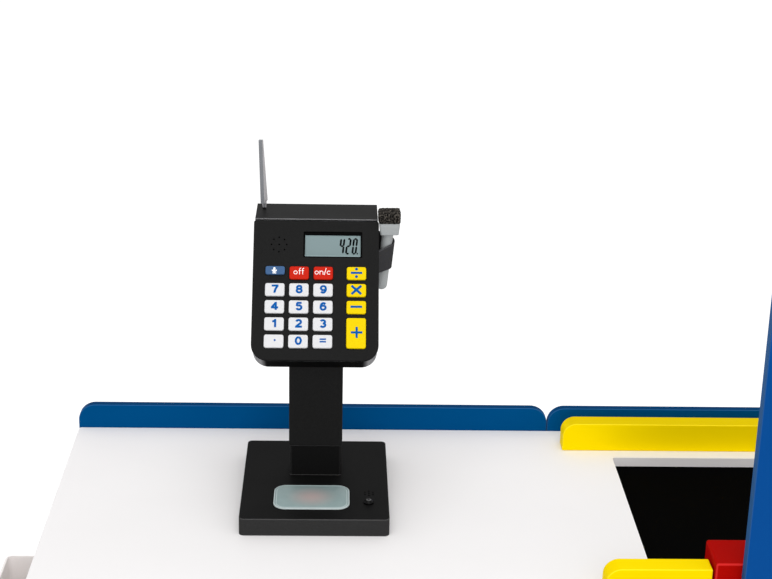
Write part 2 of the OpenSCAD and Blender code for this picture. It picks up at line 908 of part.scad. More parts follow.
// Plan of the band's outer side, w outside the clearance round the handle: straight from both anchors
// to a turn round the handle
module band_plan(w) {
    r = mic_r + band_gap;
    turn_front = atan2(band_front[1], band_front[0]) + acos(r / norm(band_front));
    turn_back = atan2(band_back[1], band_back[0]) - acos(r / norm(band_back));
    out_front = [cos(turn_front), sin(turn_front)];
    out_back = [cos(turn_back), sin(turn_back)];
    circle(r + w);
    polygon([
        band_front + w * out_front, (r + w) * out_front, (r + w) * out_back, band_back + w * out_back
    ]);
}

// Band on the head's side that holds the microphone's handle
module mic_loop() {
    size = 100;
    cuts = [[band_top, band_top_slant, 0], [band_low, band_low_slant, -size]];
    color("#2e2d30") difference() {
        on_mic() translate([0, 0, -size / 2]) linear_extrude(size) difference() {
            band_plan(band_wall);
            band_plan(0);
        }
        for (c = cuts)
            on_mic() translate([0, 0, c[0]]) rotate([c[1], 0, 0])
                translate([-size / 2, -size / 2, c[2]]) cube(size);
        place(head_x + shell_w / 2 - size, mic_y - size / 2, mic_z - size / 2) cube(size);
    }
}

module mic_body() {
    color("#a9afb0") {
        on_mic() rotate_extrude() {
            translate([0, mic_r - mic_tail])
                square([mic_r, mic_tail - mic_r + mic_neck + 2 * collar_sink]);
            intersection() {
                translate([0, mic_r - mic_tail]) circle(mic_r);
                translate([0, -mic_tail]) square([mic_r, mic_r]);
            }
        }
        on_collar() hull() {
            translate([-collar_w / 2, -collar_w / 2, 0]) linear_extrude(0.5)
                outline(collar_w, collar_w, [2, 2, 2, 2], $fn = 24);
            translate([-foam_w / 2, -foam_w / 2, collar_h - 3]) linear_extrude(3)
                outline(foam_w, foam_w, [2.5, 2.5, 2.5, 2.5], $fn = 24);
        }
    }
}

module mic_foam() {
    color("#141414") on_collar() translate([-foam_w / 2, -foam_w / 2, collar_h])
        plain_panel(foam_w, foam_w, foam_h, 3, 2);
}

module aerial() {
    profile = [[0, aerial_foot], [aerial_w, aerial_foot], [aerial_tip_w, aerial_h], [0, aerial_h]];
    pin = [
        [0, play - aerial_stem_l], [aerial_stem_r, play - aerial_stem_l], [aerial_stem_r, play],
        [aerial_boss_r, aerial_foot - 1], [aerial_boss_r, aerial_foot + 2], [0, aerial_foot + 2]
    ];
    color("#8d9194") place(aerial_x, aerial_y, head_z) rotate([0, 0, aerial_turn]) {
        rotate([0, aerial_lean, 0]) translate([-aerial_t / 2, -aerial_w / 2, 0]) rotate([90, 0, 90])
            linear_extrude(aerial_t) polygon(profile);
        rotate_extrude() polygon(pin);
    }
}

counter_top();
front_panel_left();
front_panel_right();
end_panel_left();
end_panel_right();
centre_panel();
shelves();
apron();
bearer_board();
floor_glides();
wood_screws();
side_bin();
belt_bed();
belt();
roller_bushes();
drive_roller();
idler_roller();
crank_wheel();
crank_knob();
belt_rail_back();
belt_rails_front();
post_blocks();
uprights();
header_board();
base_shell();
base_plate();
scan_window();
scanner_board();
scan_button();
column_socket();
column_tube();
head_shell();
head_face();
lcd_panel();
keypad_board();
head_speaker();
battery_door();
mic_loop();
mic_body();
mic_foam();
aerial();
for (k = KEYS)
    key(k);
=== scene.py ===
"""Finishes, key legends, display, foam, screws and studio of a toy market stall."""

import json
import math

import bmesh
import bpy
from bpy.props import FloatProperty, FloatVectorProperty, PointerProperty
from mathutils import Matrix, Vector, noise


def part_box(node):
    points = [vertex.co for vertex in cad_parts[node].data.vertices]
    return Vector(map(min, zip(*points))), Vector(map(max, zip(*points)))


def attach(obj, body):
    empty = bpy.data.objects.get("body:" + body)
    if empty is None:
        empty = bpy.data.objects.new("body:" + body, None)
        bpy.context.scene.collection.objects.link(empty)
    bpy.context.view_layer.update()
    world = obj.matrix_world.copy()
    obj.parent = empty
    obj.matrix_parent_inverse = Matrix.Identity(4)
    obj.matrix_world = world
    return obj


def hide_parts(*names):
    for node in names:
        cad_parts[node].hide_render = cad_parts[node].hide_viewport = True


bl_info = {
    "name": "Toy market stall",
    "version": (1, 0, 0),
    "blender": (4, 5, 0),
    "location": "View3D > Sidebar > Stall",
    "description": "Dresses a toy market stall: board finishes, checkout terminal, legends and studio",
    "category": "Object",
}

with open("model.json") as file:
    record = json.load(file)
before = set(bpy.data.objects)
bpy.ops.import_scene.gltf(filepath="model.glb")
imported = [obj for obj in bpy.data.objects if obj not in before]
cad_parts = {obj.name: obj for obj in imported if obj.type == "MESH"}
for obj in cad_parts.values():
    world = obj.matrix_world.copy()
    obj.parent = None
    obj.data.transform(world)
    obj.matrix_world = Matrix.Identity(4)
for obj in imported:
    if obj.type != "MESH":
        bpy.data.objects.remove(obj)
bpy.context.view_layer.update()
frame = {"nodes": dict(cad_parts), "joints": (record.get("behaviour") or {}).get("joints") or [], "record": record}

MM = 0.001
X_AXIS = Vector((1, 0, 0))
Y_AXIS = Vector((0, 1, 0))
# Colour sockets of a Mix node: both inputs and the result
FIRST, SECOND, MIXED = 6, 7, 2
# Way in which each sliding body moves
PRESS = {joint["child"]: Vector(joint["axis"]) for joint in frame["joints"] if joint["type"] == "slide"}


def linear(hex_colour):
    """Linear red, green and blue of an sRGB hex colour."""
    values = [int(hex_colour[i:i + 2], 16) / 255 for i in (1, 3, 5)]
    return tuple(v / 12.92 if v <= 0.04045 else ((v + 0.055) / 1.055) ** 2.4 for v in values)


def colour(name, description, hex_colour):
    """Property for a colour."""
    return FloatVectorProperty(name=name, description=description, subtype="COLOR", min=0, max=1,
                               default=linear(hex_colour))


def length(name, description, millimetres):
    """Property for a length."""
    return FloatProperty(name=name, description=description, unit="LENGTH", precision=5,
                         default=millimetres * MM)


def angle(name, description, degrees):
    """Property for an angle."""
    return FloatProperty(name=name, description=description, subtype="ANGLE", default=math.radians(degrees))


def power(name, description, watts):
    """Property for a lamp's power."""
    return FloatProperty(name=name, description=description, unit="POWER", default=watts)


class StallColours(bpy.types.PropertyGroup):
    """Colours of the stall."""

    board: colour("Board", "Melamine of the counter and the cabinet", "#f0eeee")
    blue: colour("Blue", "Lacquer of the front panels", "#004b82")
    upright: colour("Upright", "Lacquer of the uprights", "#0b4a90")
    # Painted sheen: a paler, greyer blue on the sides of the uprights, standing in for light they reflect at a
    # grazing angle
    upright_side_sheen: colour("Upright side", "Sawn sides of the uprights, where the lacquer soaks in", "#2e5d92")
    yellow: colour("Yellow", "Lacquer of the belt rails and the header", "#fede00")
    red: colour("Red", "Lacquer of the post blocks and the crank", "#ad0a05")
    bin: colour("Bin", "Moulded side bin", "#f1ecea")
    # The base is one black plastic: its walls take a lighter tone as painted light and its roof a darker one as
    # painted shade
    black_wall: colour("Black walls", "Walls of the terminal's base", "#303030")
    black_roof_shade: colour("Black roof", "Roof of the terminal's base", "#131313")
    black_face: colour("Black face", "Face plate of the terminal's head", "#1e1e1e")
    black_brow: colour("Black brow", "Top of the terminal's head", "#212121")
    black_column: colour("Black column", "Column of the terminal", "#1f1f1f")
    # Painted shade: the socket is painted darker than the column
    black_socket_shade: colour("Black socket", "Socket of the terminal's column", "#141414")
    # Painted highlight along the edges of the base and the socket, and on the scan button's dome
    black_edge_highlight: colour("Polished edges", "Edges of the base, where the grain is polished", "#6c6c6c")
    # Painted highlight on the rounded lower corners of the head
    black_corner_highlight: colour("Polished corners", "Rounded ends of the head, where the grain is polished",
                         "#8e8e90")
    # Painted shade in gaps, recesses and holes and on the undersides of the terminal
    black_shade: colour("Black gaps", "Gaps and undersides of the terminal", "#030303")
    belt: colour("Belt", "Rubber of the goods belt", "#030303")
    key_white: colour("White key", "Digit keys", "#d7d7d9")
    key_yellow: colour("Yellow key", "Operator keys", "#e8c900")
    key_red: colour("Red key", "Power keys", "#c02210")
    key_slate: colour("Slate key", "Microphone key", "#416088")
    ink_blue: colour("Blue ink", "Legends of the white and yellow keys", "#0857a2")
    ink_white: colour("White ink", "Legends of the red and slate keys", "#ffffff")
    display: colour("Display", "Display at rest", "#788a8c")
    segment: colour("Segment", "Display segments that are on", "#020304")
    window: colour("Scan window", "Frosted scan window", "#8fa2a2")
    # Painted highlight: the polished rim of the scan window is painted paler than its pane
    window_rim_highlight: colour("Window rim", "Polished rim of the scan window", "#c3cfcf")
    window_glow: colour("Window glow", "Lamps seen through the scan window", "#b4a5a2")
    microphone: colour("Microphone", "Handle of the microphone", "#a8acad")
    foam: colour("Foam", "Hollows in the microphone's foam", "#0a0a0a")
    foam_wall: colour("Foam wall", "Cell walls of the microphone's foam", "#5e5953")
    band: colour("Band", "Band that holds the microphone", "#3a3a3c")
    aerial: colour("Aerial", "Broad faces of the smoke-grey aerial", "#aaa6a9")
    aerial_edge: colour("Aerial edge", "Narrow faces of the aerial", "#7c7e82")


class StallSizes(bpy.types.PropertyGroup):
    """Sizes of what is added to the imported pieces."""

    ink: length("Ink", "Thickness of a printed legend", 0.06)
    digit_height: length("Digit height", "Height of a digit on a key", 8.2)
    digit_width: length("Digit width", "Width of a digit on a key", 6.4)
    digit_stroke: length("Digit stroke", "Stroke of a digit on a key", 1.95)
    word_stroke: length("Word stroke", "Stroke of a word on a power key", 0.58)
    sign_width: length("Sign width", "Width of an operator sign", 10.5)
    sign_stroke: length("Sign stroke", "Stroke of an operator sign", 2.1)
    segment_height: length("Segment digit height", "Height of a display digit, between its strokes", 14.4)
    segment_width: length("Segment digit width", "Width of a display digit, between its strokes", 2.95)
    segment_stroke: length("Segment stroke", "Stroke of a segment", 1.75)
    segment_pitch: length("Segment pitch", "Distance between digits on the display", 5.9)
    segment_slant: angle("Segment slant", "Slant of the digits on the display", 6)
    window_corner: length("Window corner", "Corner radius of the scan window", 12)
    foam_swell: length("Foam swell", "How far the foam swells above its block", 0.9)
    foam_bulge: length("Foam bulge", "How far the foam bulges past its block's sides", 0.4)
    foam_grain: length("Foam grain", "Size of the foam's pores", 1.5)
    foam_roughness: length("Foam roughness", "Depth of the foam's pores", 0.55)
    screw_head: length("Screw head", "Radius of a screw's head", 4.0)
    screw_shank: length("Screw shank", "Radius of a screw's shank", 2.0)


class StallStudio(bpy.types.PropertyGroup):
    """Camera and light."""

    camera_aside: length("Camera aside", "Camera's distance from the counter's left end", 271.6)
    camera_back: length("Camera back", "Camera's distance from the front panels", 1615.8)
    camera_height: length("Camera height", "Camera's height above the floor", 1270)
    camera_pitch: angle("Pitch", "Downward pitch of the camera", 20.07)
    camera_yaw: angle("Yaw", "Turn of the camera to the right", 1.838)
    camera_roll: angle("Roll", "Roll of the camera", -1.238)
    camera_lens: FloatProperty(name="Lens", description="Focal length", unit="CAMERA", default=77.39)
    sky: FloatProperty(name="Sky", description="Light from all around", default=0.66)
    floor_glow: FloatProperty(name="Floor glow", description="White that the floor adds where it is seen",
                              default=0.5)
    key_light: power("Key light", "Power of the lamp above", 36)
    front_light: power("Front light", "Power of the lamp in front", 26)
    side_light: power("Side light", "Power of the lamp on the right", 5)


# Nodes of a material

def add(tree, kind, inputs=None, **settings):
    """Adds a node with its settings, and sets or links each of its inputs."""
    made = tree.nodes.new(kind)
    for name, value in settings.items():
        setattr(made, name, value)
    for name, value in (inputs or {}).items():
        if isinstance(value, bpy.types.NodeSocket):
            tree.links.new(value, made.inputs[name])
        else:
            made.inputs[name].default_value = value
    return made


def per(millimetres):
    """Texture scale at which one feature takes the given size."""
    return 1 / (millimetres * MM)


def start(name):
    """A new material, its node tree and its Object coordinates."""
    made = bpy.data.materials.new(name)
    made.use_nodes = True
    made.node_tree.nodes.clear()
    return made, made.node_tree, add(made.node_tree, "ShaderNodeTexCoord").outputs["Object"]


def finish(made, tree, shader):
    """Ends a material with its shader."""
    add(tree, "ShaderNodeOutputMaterial", {"Surface": shader.outputs[0]})
    return made


def shade(rgb, factor=1):
    """A lighter or darker tone of a colour, as a socket takes it."""
    return tuple(min(1, v * factor) for v in rgb) + (1,)


def along_edges(tree, millimetres):
    """Rounded normal of a piece, and a factor that rises from zero on its flats to one along its edges."""
    soft = add(tree, "ShaderNodeBevel", {"Radius": millimetres * MM}, samples=6)
    flat = add(tree, "ShaderNodeNewGeometry")
    turn = add(tree, "ShaderNodeVectorMath", {0: soft.outputs["Normal"], 1: flat.outputs["Normal"]},
               operation="DOT_PRODUCT")
    rise = add(tree, "ShaderNodeMapRange", {
        "Value": turn.outputs["Value"], "From Min": 0.998, "From Max": 0.965})
    return soft.outputs["Normal"], rise.outputs["Result"]


def looks(tree):
    """How far a face looks to the right, to the rear and up, as the outputs X, Y and Z."""
    facing = add(tree, "ShaderNodeNewGeometry")
    return add(tree, "ShaderNodeSeparateXYZ", {"Vector": facing.outputs["Normal"]}).outputs


def by_slope(tree, stops):
    """Tone of a face by its slope: pairs of how far it looks up, from -1 to 1, and a colour."""
    height = add(tree, "ShaderNodeMapRange", {"Value": looks(tree)["Z"], "From Min": -1.0})
    ramp = add(tree, "ShaderNodeValToRGB", {"Fac": height.outputs["Result"]})
    elements = ramp.color_ramp.elements
    elements.remove(elements[1])
    for i, (slope, rgb) in enumerate(stops):
        element = elements.new((slope + 1) / 2) if i else elements[0]
        element.position = (slope + 1) / 2
        element.color = shade(rgb)
    return ramp.outputs["Color"]


def melamine(name, rgb):
    """Melamine-faced board: pressed smooth, even, satin, with a faint pearl in the sheen and a painted highlight
    along its edges.
    """
    made, tree, place = start(name)
    cloud = add(tree, "ShaderNodeTexNoise", {"Vector": place, "Scale": per(90), "Detail": 3.0})
    pearl = add(tree, "ShaderNodeTexNoise", {"Vector": place, "Scale": per(1.6), "Detail": 2.0})
    # Painted highlight: the edges are painted paler
    edges = along_edges(tree, 1.2)[1]
    flat = add(tree, "ShaderNodeMix", {
        "Factor": cloud.outputs["Fac"], FIRST: shade(rgb, 0.98), SECOND: shade(rgb, 1.02)}, data_type="RGBA")
    tone = add(tree, "ShaderNodeMix", {
        "Factor": edges, FIRST: flat.outputs[MIXED], SECOND: shade(rgb, 1.12)}, data_type="RGBA")
    rough = add(tree, "ShaderNodeMapRange", {"Value": pearl.outputs["Fac"], "To Min": 0.45, "To Max": 0.55})
    bump = add(tree, "ShaderNodeBump", {
        "Height": pearl.outputs["Fac"], "Strength": 0.06, "Distance": 0.1 * MM})
    shader = add(tree, "ShaderNodeBsdfPrincipled", {
        "Base Color": tone.outputs[MIXED], "Roughness": rough.outputs["Result"], "IOR": 1.45,
        "Specular IOR Level": 0.1, "Normal": bump.outputs["Normal"]})
    return finish(made, tree, shader)


def lacquer(name, rgb, roof=1.0, glint=1.3, side=None):
    """Lacquer sprayed on smooth fibreboard: deep and even, with a faint orange peel and a painted glint along
    the edges. Another tone may be given for faces that look up, as painted shade, and for the sides, as painted
    sheen."""
    made, tree, place = start(name)
    cloud = add(tree, "ShaderNodeTexNoise", {"Vector": place, "Scale": per(70), "Detail": 3.0})
    peel = add(tree, "ShaderNodeTexNoise", {"Vector": place, "Scale": per(3), "Detail": 1.0})
    # Factor for the rounded edges of a board, where the painted highlight goes
    front = add(tree, "ShaderNodeMath", {0: looks(tree)["Y"], 1: 2.0}, operation="POWER")
    turned = add(tree, "ShaderNodeMath", {0: 1.0, 1: front.outputs[0]}, operation="SUBTRACT")
    edges = add(tree, "ShaderNodeMath", {0: front.outputs[0], 1: turned.outputs[0]}, operation="MULTIPLY")
    rise = add(tree, "ShaderNodeMapRange", {"Value": edges.outputs[0], "From Min": 0.06, "From Max": 0.2})
    # Tops take the roof tone, a painted shade
    flat = by_slope(tree, [(0.65, rgb), (0.95, shade(rgb, roof)[:3])])
    veil = add(tree, "ShaderNodeMapRange", {"Value": cloud.outputs["Fac"], "To Min": 0.96, "To Max": 1.04})
    tone = add(tree, "ShaderNodeVectorMath", {0: flat, 1: veil.outputs["Result"]}, operation="MULTIPLY")
    bright = shade([0.02 + v * glint for v in rgb])
    with_painted_light = add(tree, "ShaderNodeMix", {
        "Factor": rise.outputs["Result"], FIRST: tone.outputs[0], SECOND: bright}, data_type="RGBA")
    # Painted sheen on the sides that look left and right
    if side:
        across = add(tree, "ShaderNodeMath", {0: looks(tree)["X"]}, operation="ABSOLUTE")
        narrow = add(tree, "ShaderNodeMapRange", {
            "Value": across.outputs[0], "From Min": 0.6, "From Max": 0.8})
        with_painted_light = add(tree, "ShaderNodeMix", {
            "Factor": narrow.outputs["Result"], FIRST: with_painted_light.outputs[MIXED], SECOND: shade(side)},
            data_type="RGBA")
    rough = add(tree, "ShaderNodeMapRange", {"Value": cloud.outputs["Fac"], "To Min": 0.36, "To Max": 0.44})
    bump = add(tree, "ShaderNodeBump", {
        "Height": peel.outputs["Fac"], "Strength": 0.08, "Distance": 0.15 * MM})
    shader = add(tree, "ShaderNodeBsdfPrincipled", {
        "Base Color": with_painted_light.outputs[MIXED], "Roughness": rough.outputs["Result"], "IOR": 1.45,
        "Specular IOR Level": 0.006, "Normal": bump.outputs["Normal"]})
    return finish(made, tree, shader)


def grained_abs(name, stops, edge=None, sunk=None, hollow=None, rear=None, fleck=0.2, grit=0.9, rough=0.45,
                level=0.02):
    """Moulded plastic with a spark-eroded grain: dull, with fine glints on the grain. Its tone may change with the
    slope of a face, as painted light and shade. Other tones, painted highlights and painted shade, may be given
    along its edges or, with an axis and a height, below that height; within a hollow, by its middle and its
    radius; and on faces that look to the rear."""
    made, tree, place = start(name)
    grain = add(tree, "ShaderNodeTexNoise", {
        "Vector": place, "Scale": per(grit), "Detail": 3.0, "Roughness": 0.6})
    cloud = add(tree, "ShaderNodeTexNoise", {"Vector": place, "Scale": per(45), "Detail": 2.0})
    soft, factor = along_edges(tree, 1.2)
    if sunk:
        axis, height = sunk
        rise = add(tree, "ShaderNodeVectorMath", {0: place, 1: tuple(axis)}, operation="DOT_PRODUCT")
        below = add(tree, "ShaderNodeMapRange", {
            "Value": rise.outputs["Value"], "From Min": height, "From Max": height - 0.3 * MM})
        factor = below.outputs["Result"]
    # Painted highlight or painted shade along the edges, or painted shade below the given height
    with_painted_light = add(tree, "ShaderNodeMix", {
        "Factor": factor, FIRST: by_slope(tree, stops), SECOND: by_slope(tree, edge or stops)},
        data_type="RGBA")
    # Painted shade within the hollow
    if hollow:
        middle, radius, inside = hollow
        away = add(tree, "ShaderNodeVectorMath", {0: place, 1: tuple(middle)}, operation="DISTANCE")
        near = add(tree, "ShaderNodeMath", {0: away.outputs["Value"], 1: radius}, operation="LESS_THAN")
        with_painted_light = add(tree, "ShaderNodeMix", {
            "Factor": near.outputs[0], FIRST: with_painted_light.outputs[MIXED], SECOND: by_slope(tree, inside)},
            data_type="RGBA")
    if rear:
        back = add(tree, "ShaderNodeMath", {0: looks(tree)["Y"], 1: 0.1}, operation="GREATER_THAN")
        with_painted_light = add(tree, "ShaderNodeMix", {
            "Factor": back.outputs[0], FIRST: with_painted_light.outputs[MIXED], SECOND: shade(rear)}, data_type="RGBA")
    glint = add(tree, "ShaderNodeMapRange", {
        "Value": grain.outputs["Fac"], "From Min": 0.3, "From Max": 0.7, "To Min": 1 - fleck,
        "To Max": 1 + fleck})
    tone = add(tree, "ShaderNodeVectorMath", {0: with_painted_light.outputs[MIXED], 1: glint.outputs["Result"]},
               operation="MULTIPLY")
    dull = add(tree, "ShaderNodeMapRange", {
        "Value": cloud.outputs["Fac"], "To Min": rough, "To Max": rough + 0.12})
    bump = add(tree, "ShaderNodeBump", {
        "Height": grain.outputs["Fac"], "Strength": 0.12, "Distance": 0.12 * MM, "Normal": soft})
    shader = add(tree, "ShaderNodeBsdfPrincipled", {
        "Base Color": tone.outputs[0], "Roughness": dull.outputs["Result"], "IOR": 1.5,
        "Specular IOR Level": level, "Normal": bump.outputs["Normal"]})
    return finish(made, tree, shader)


def wood(name, light_hex, dark_hex, grain_axis, fibre_width):
    """Sanded hardwood: pale, with stretched darker fibres along the grain and short pores."""
    made, tree, place = start(name)
    stretch = tuple(0.06 if i == grain_axis else 1.0 for i in range(3))
    along = add(tree, "ShaderNodeMapping", {"Vector": place, "Scale": stretch})
    fibre = add(tree, "ShaderNodeTexNoise", {
        "Vector": along.outputs[0], "Scale": per(fibre_width), "Detail": 6.0, "Roughness": 0.65})
    pores = add(tree, "ShaderNodeTexNoise", {"Vector": along.outputs[0], "Scale": per(0.9), "Detail": 2.0})
    tone = add(tree, "ShaderNodeMix", {
        "Factor": fibre.outputs["Fac"], FIRST: shade(linear(light_hex)), SECOND: shade(linear(dark_hex))},
        data_type="RGBA")
    bump = add(tree, "ShaderNodeBump", {
        "Height": pores.outputs["Fac"], "Strength": 0.25, "Distance": 0.1 * MM})
    shader = add(tree, "ShaderNodeBsdfPrincipled", {
        "Base Color": tone.outputs[MIXED], "Roughness": 0.55, "IOR": 1.45, "Specular IOR Level": 0.2,
        "Normal": bump.outputs["Normal"]})
    return finish(made, tree, shader)


def belt_rubber(name, rgb):
    """Rubberised fabric: dull black with the imprint of its weave, drawn at 1.5 mm so that it shows."""
    made, tree, place = start(name)
    thread = {"Vector": place, "Scale": per(1.5) / math.tau}
    warp = add(tree, "ShaderNodeTexWave", thread, bands_direction="X")
    weft = add(tree, "ShaderNodeTexWave", thread, bands_direction="Y")
    weave = add(tree, "ShaderNodeMath", {0: warp.outputs["Fac"], 1: weft.outputs["Fac"]},
                operation="MULTIPLY")
    tone = add(tree, "ShaderNodeMix", {
        "Factor": weave.outputs[0], FIRST: shade(rgb, 0.8), SECOND: shade(rgb, 1.2)}, data_type="RGBA")
    bump = add(tree, "ShaderNodeBump", {"Height": weave.outputs[0], "Strength": 0.3, "Distance": 0.1 * MM})
    shader = add(tree, "ShaderNodeBsdfPrincipled", {
        "Base Color": tone.outputs[MIXED], "Roughness": 0.75, "IOR": 1.5, "Specular IOR Level": 0.006,
        "Normal": bump.outputs["Normal"]})
    return finish(made, tree, shader)


def zinc_steel(name):
    """Zinc-plated steel: bright bluish grey with fine turning marks."""
    made, tree, place = start(name)
    marks = add(tree, "ShaderNodeTexNoise", {"Vector": place, "Scale": per(0.4), "Detail": 2.0})
    tone = add(tree, "ShaderNodeMix", {
        "Factor": marks.outputs["Fac"], FIRST: shade(linear("#9ca1a6")), SECOND: shade(linear("#c9ccd0"))},
        data_type="RGBA")
    rough = add(tree, "ShaderNodeMapRange", {"Value": marks.outputs["Fac"], "To Min": 0.25, "To Max": 0.45})
    shader = add(tree, "ShaderNodeBsdfPrincipled", {
        "Base Color": tone.outputs[MIXED], "Roughness": rough.outputs["Result"], "Metallic": 1.0})
    return finish(made, tree, shader)


def circuit_board(name):
    """Fibreglass board under green solder mask: darker tracks show as straight cells through the mask."""
    made, tree, place = start(name)
    cells = add(tree, "ShaderNodeTexVoronoi", {"Vector": place, "Scale": per(5)}, distance="MANHATTAN")
    tracks = add(tree, "ShaderNodeMapRange", {
        "Value": cells.outputs["Distance"], "From Min": 0.3, "From Max": 0.4})
    tone = add(tree, "ShaderNodeMix", {
        "Factor": tracks.outputs["Result"], FIRST: shade(linear("#1d5a30")),
        SECOND: shade(linear("#2f7a46"))}, data_type="RGBA")
    shader = add(tree, "ShaderNodeBsdfPrincipled", {
        "Base Color": tone.outputs[MIXED], "Roughness": 0.3, "IOR": 1.5})
    return finish(made, tree, shader)


def frosted_acrylic(name, rgb, glow_rgb):
    """Frosted acrylic: milky grey-green, a satin face and a faint red of the lamps under its middle."""
    made, tree, place = start(name)
    low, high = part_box("scan_window")
    centre = (low + high) / 2
    reach = add(tree, "ShaderNodeMapping", {"Vector": place, "Location": tuple(-centre)})
    flat = add(tree, "ShaderNodeVectorMath", {0: reach.outputs[0], 1: (1.0, 1.1, 0.0)}, operation="MULTIPLY")
    away = add(tree, "ShaderNodeVectorMath", {0: flat.outputs[0]}, operation="LENGTH")
    glow = add(tree, "ShaderNodeMapRange", {
        "Value": away.outputs["Value"], "From Min": 27 * MM, "From Max": 0.0},
        interpolation_type="SMOOTHSTEP")
    frost = add(tree, "ShaderNodeTexNoise", {"Vector": place, "Scale": per(0.5), "Detail": 2.0})
    cloud = add(tree, "ShaderNodeTexNoise", {"Vector": place, "Scale": per(9), "Detail": 3.0})
    milk = add(tree, "ShaderNodeMix", {
        "Factor": cloud.outputs["Fac"], FIRST: shade(rgb, 0.9), SECOND: shade(rgb, 1.1)}, data_type="RGBA")
    tone = add(tree, "ShaderNodeMix", {
        "Factor": glow.outputs["Result"], FIRST: milk.outputs[MIXED], SECOND: shade(glow_rgb)},
        data_type="RGBA")
    rough = add(tree, "ShaderNodeMapRange", {"Value": frost.outputs["Fac"], "To Min": 0.3, "To Max": 0.45})
    shader = add(tree, "ShaderNodeBsdfPrincipled", {
        "Base Color": tone.outputs[MIXED], "Roughness": rough.outputs["Result"], "IOR": 1.49,
        "Specular IOR Level": 0.1})
    return finish(made, tree, shader)


def display_glass(name, rgb):
    """Liquid-crystal display behind glass: grey-green, with a fine haze and a brighter foot."""
    made, tree, place = start(name)
    axes = outward("key_7")
    up = axes[1]
    middle = fitted("lcd_panel", axes)[0].dot(up)
    rise = add(tree, "ShaderNodeVectorMath", {0: place, 1: tuple(up)}, operation="DOT_PRODUCT")
    fall = add(tree, "ShaderNodeMapRange", {
        "Value": rise.outputs["Value"], "From Min": middle - 10 * MM, "From Max": middle + 10 * MM})
    foot = add(tree, "ShaderNodeMapRange", {
        "Value": rise.outputs["Value"], "From Min": middle - 9 * MM, "From Max": middle - 9.4 * MM})
    tone = add(tree, "ShaderNodeMix", {
        "Factor": fall.outputs["Result"], FIRST: shade(rgb, 0.97), SECOND: shade(rgb, 1.03)},
        data_type="RGBA")
    edge = add(tree, "ShaderNodeMix", {
        "Factor": foot.outputs["Result"], FIRST: tone.outputs[MIXED], SECOND: shade(rgb, 1.3)},
        data_type="RGBA")
    haze = add(tree, "ShaderNodeTexNoise", {"Vector": place, "Scale": per(0.6), "Detail": 1.0})
    rough = add(tree, "ShaderNodeMapRange", {"Value": haze.outputs["Fac"], "To Min": 0.2, "To Max": 0.3})
    shader = add(tree, "ShaderNodeBsdfPrincipled", {
        "Base Color": edge.outputs[MIXED], "Roughness": rough.outputs["Result"], "IOR": 1.5,
        "Specular IOR Level": 0.1})
    return finish(made, tree, shader)


def key_plastic(name, rgb):
    """Moulded plastic of a key: smooth, softly glossy, with the least mould haze."""
    made, tree, place = start(name)
    haze = add(tree, "ShaderNodeTexNoise", {"Vector": place, "Scale": per(2), "Detail": 2.0})
    tone = add(tree, "ShaderNodeMix", {
        "Factor": haze.outputs["Fac"], FIRST: shade(rgb, 0.97), SECOND: shade(rgb, 1.02)}, data_type="RGBA")
    rough = add(tree, "ShaderNodeMapRange", {"Value": haze.outputs["Fac"], "To Min": 0.3, "To Max": 0.42})
    shader = add(tree, "ShaderNodeBsdfPrincipled", {
        "Base Color": tone.outputs[MIXED], "Roughness": rough.outputs["Result"], "IOR": 1.5,
        "Specular IOR Level": 0.04})
    return finish(made, tree, shader)


def pad_ink(name, rgb):
    """Pad-printed ink: flat colour with a slightly uneven film."""
    made, tree, place = start(name)
    film = add(tree, "ShaderNodeTexNoise", {"Vector": place, "Scale": per(0.8), "Detail": 2.0})
    tone = add(tree, "ShaderNodeMix", {
        "Factor": film.outputs["Fac"], FIRST: shade(rgb, 0.95), SECOND: shade(rgb, 1.05)}, data_type="RGBA")
    shader = add(tree, "ShaderNodeBsdfPrincipled", {
        "Base Color": tone.outputs[MIXED], "Roughness": 0.45, "IOR": 1.45, "Specular IOR Level": 0.01})
    return finish(made, tree, shader)


def open_foam(name, rgb, wall_rgb):
    """Open-cell foam: near black, dull, with paler broken cell walls that catch the light."""
    made, tree, place = start(name)
    cells = add(tree, "ShaderNodeTexVoronoi", {"Vector": place, "Scale": per(1.6)})
    fray = add(tree, "ShaderNodeTexNoise", {
        "Vector": place, "Scale": per(1.1), "Detail": 3.0, "Roughness": 0.7})
    ragged = add(tree, "ShaderNodeMath", {0: cells.outputs["Distance"], 1: fray.outputs["Fac"]},
                 operation="MULTIPLY")
    walls = add(tree, "ShaderNodeMapRange", {"Value": ragged.outputs[0], "From Min": 0.2, "From Max": 0.48})
    tone = add(tree, "ShaderNodeMix", {
        "Factor": walls.outputs["Result"], FIRST: shade(rgb), SECOND: shade(wall_rgb)}, data_type="RGBA")
    bump = add(tree, "ShaderNodeBump", {
        "Height": cells.outputs["Distance"], "Strength": 0.8, "Distance": 0.4 * MM})
    shader = add(tree, "ShaderNodeBsdfPrincipled", {
        "Base Color": tone.outputs[MIXED], "Roughness": 0.95, "Specular IOR Level": 0.05,
        "Normal": bump.outputs["Normal"]})
    return finish(made, tree, shader)


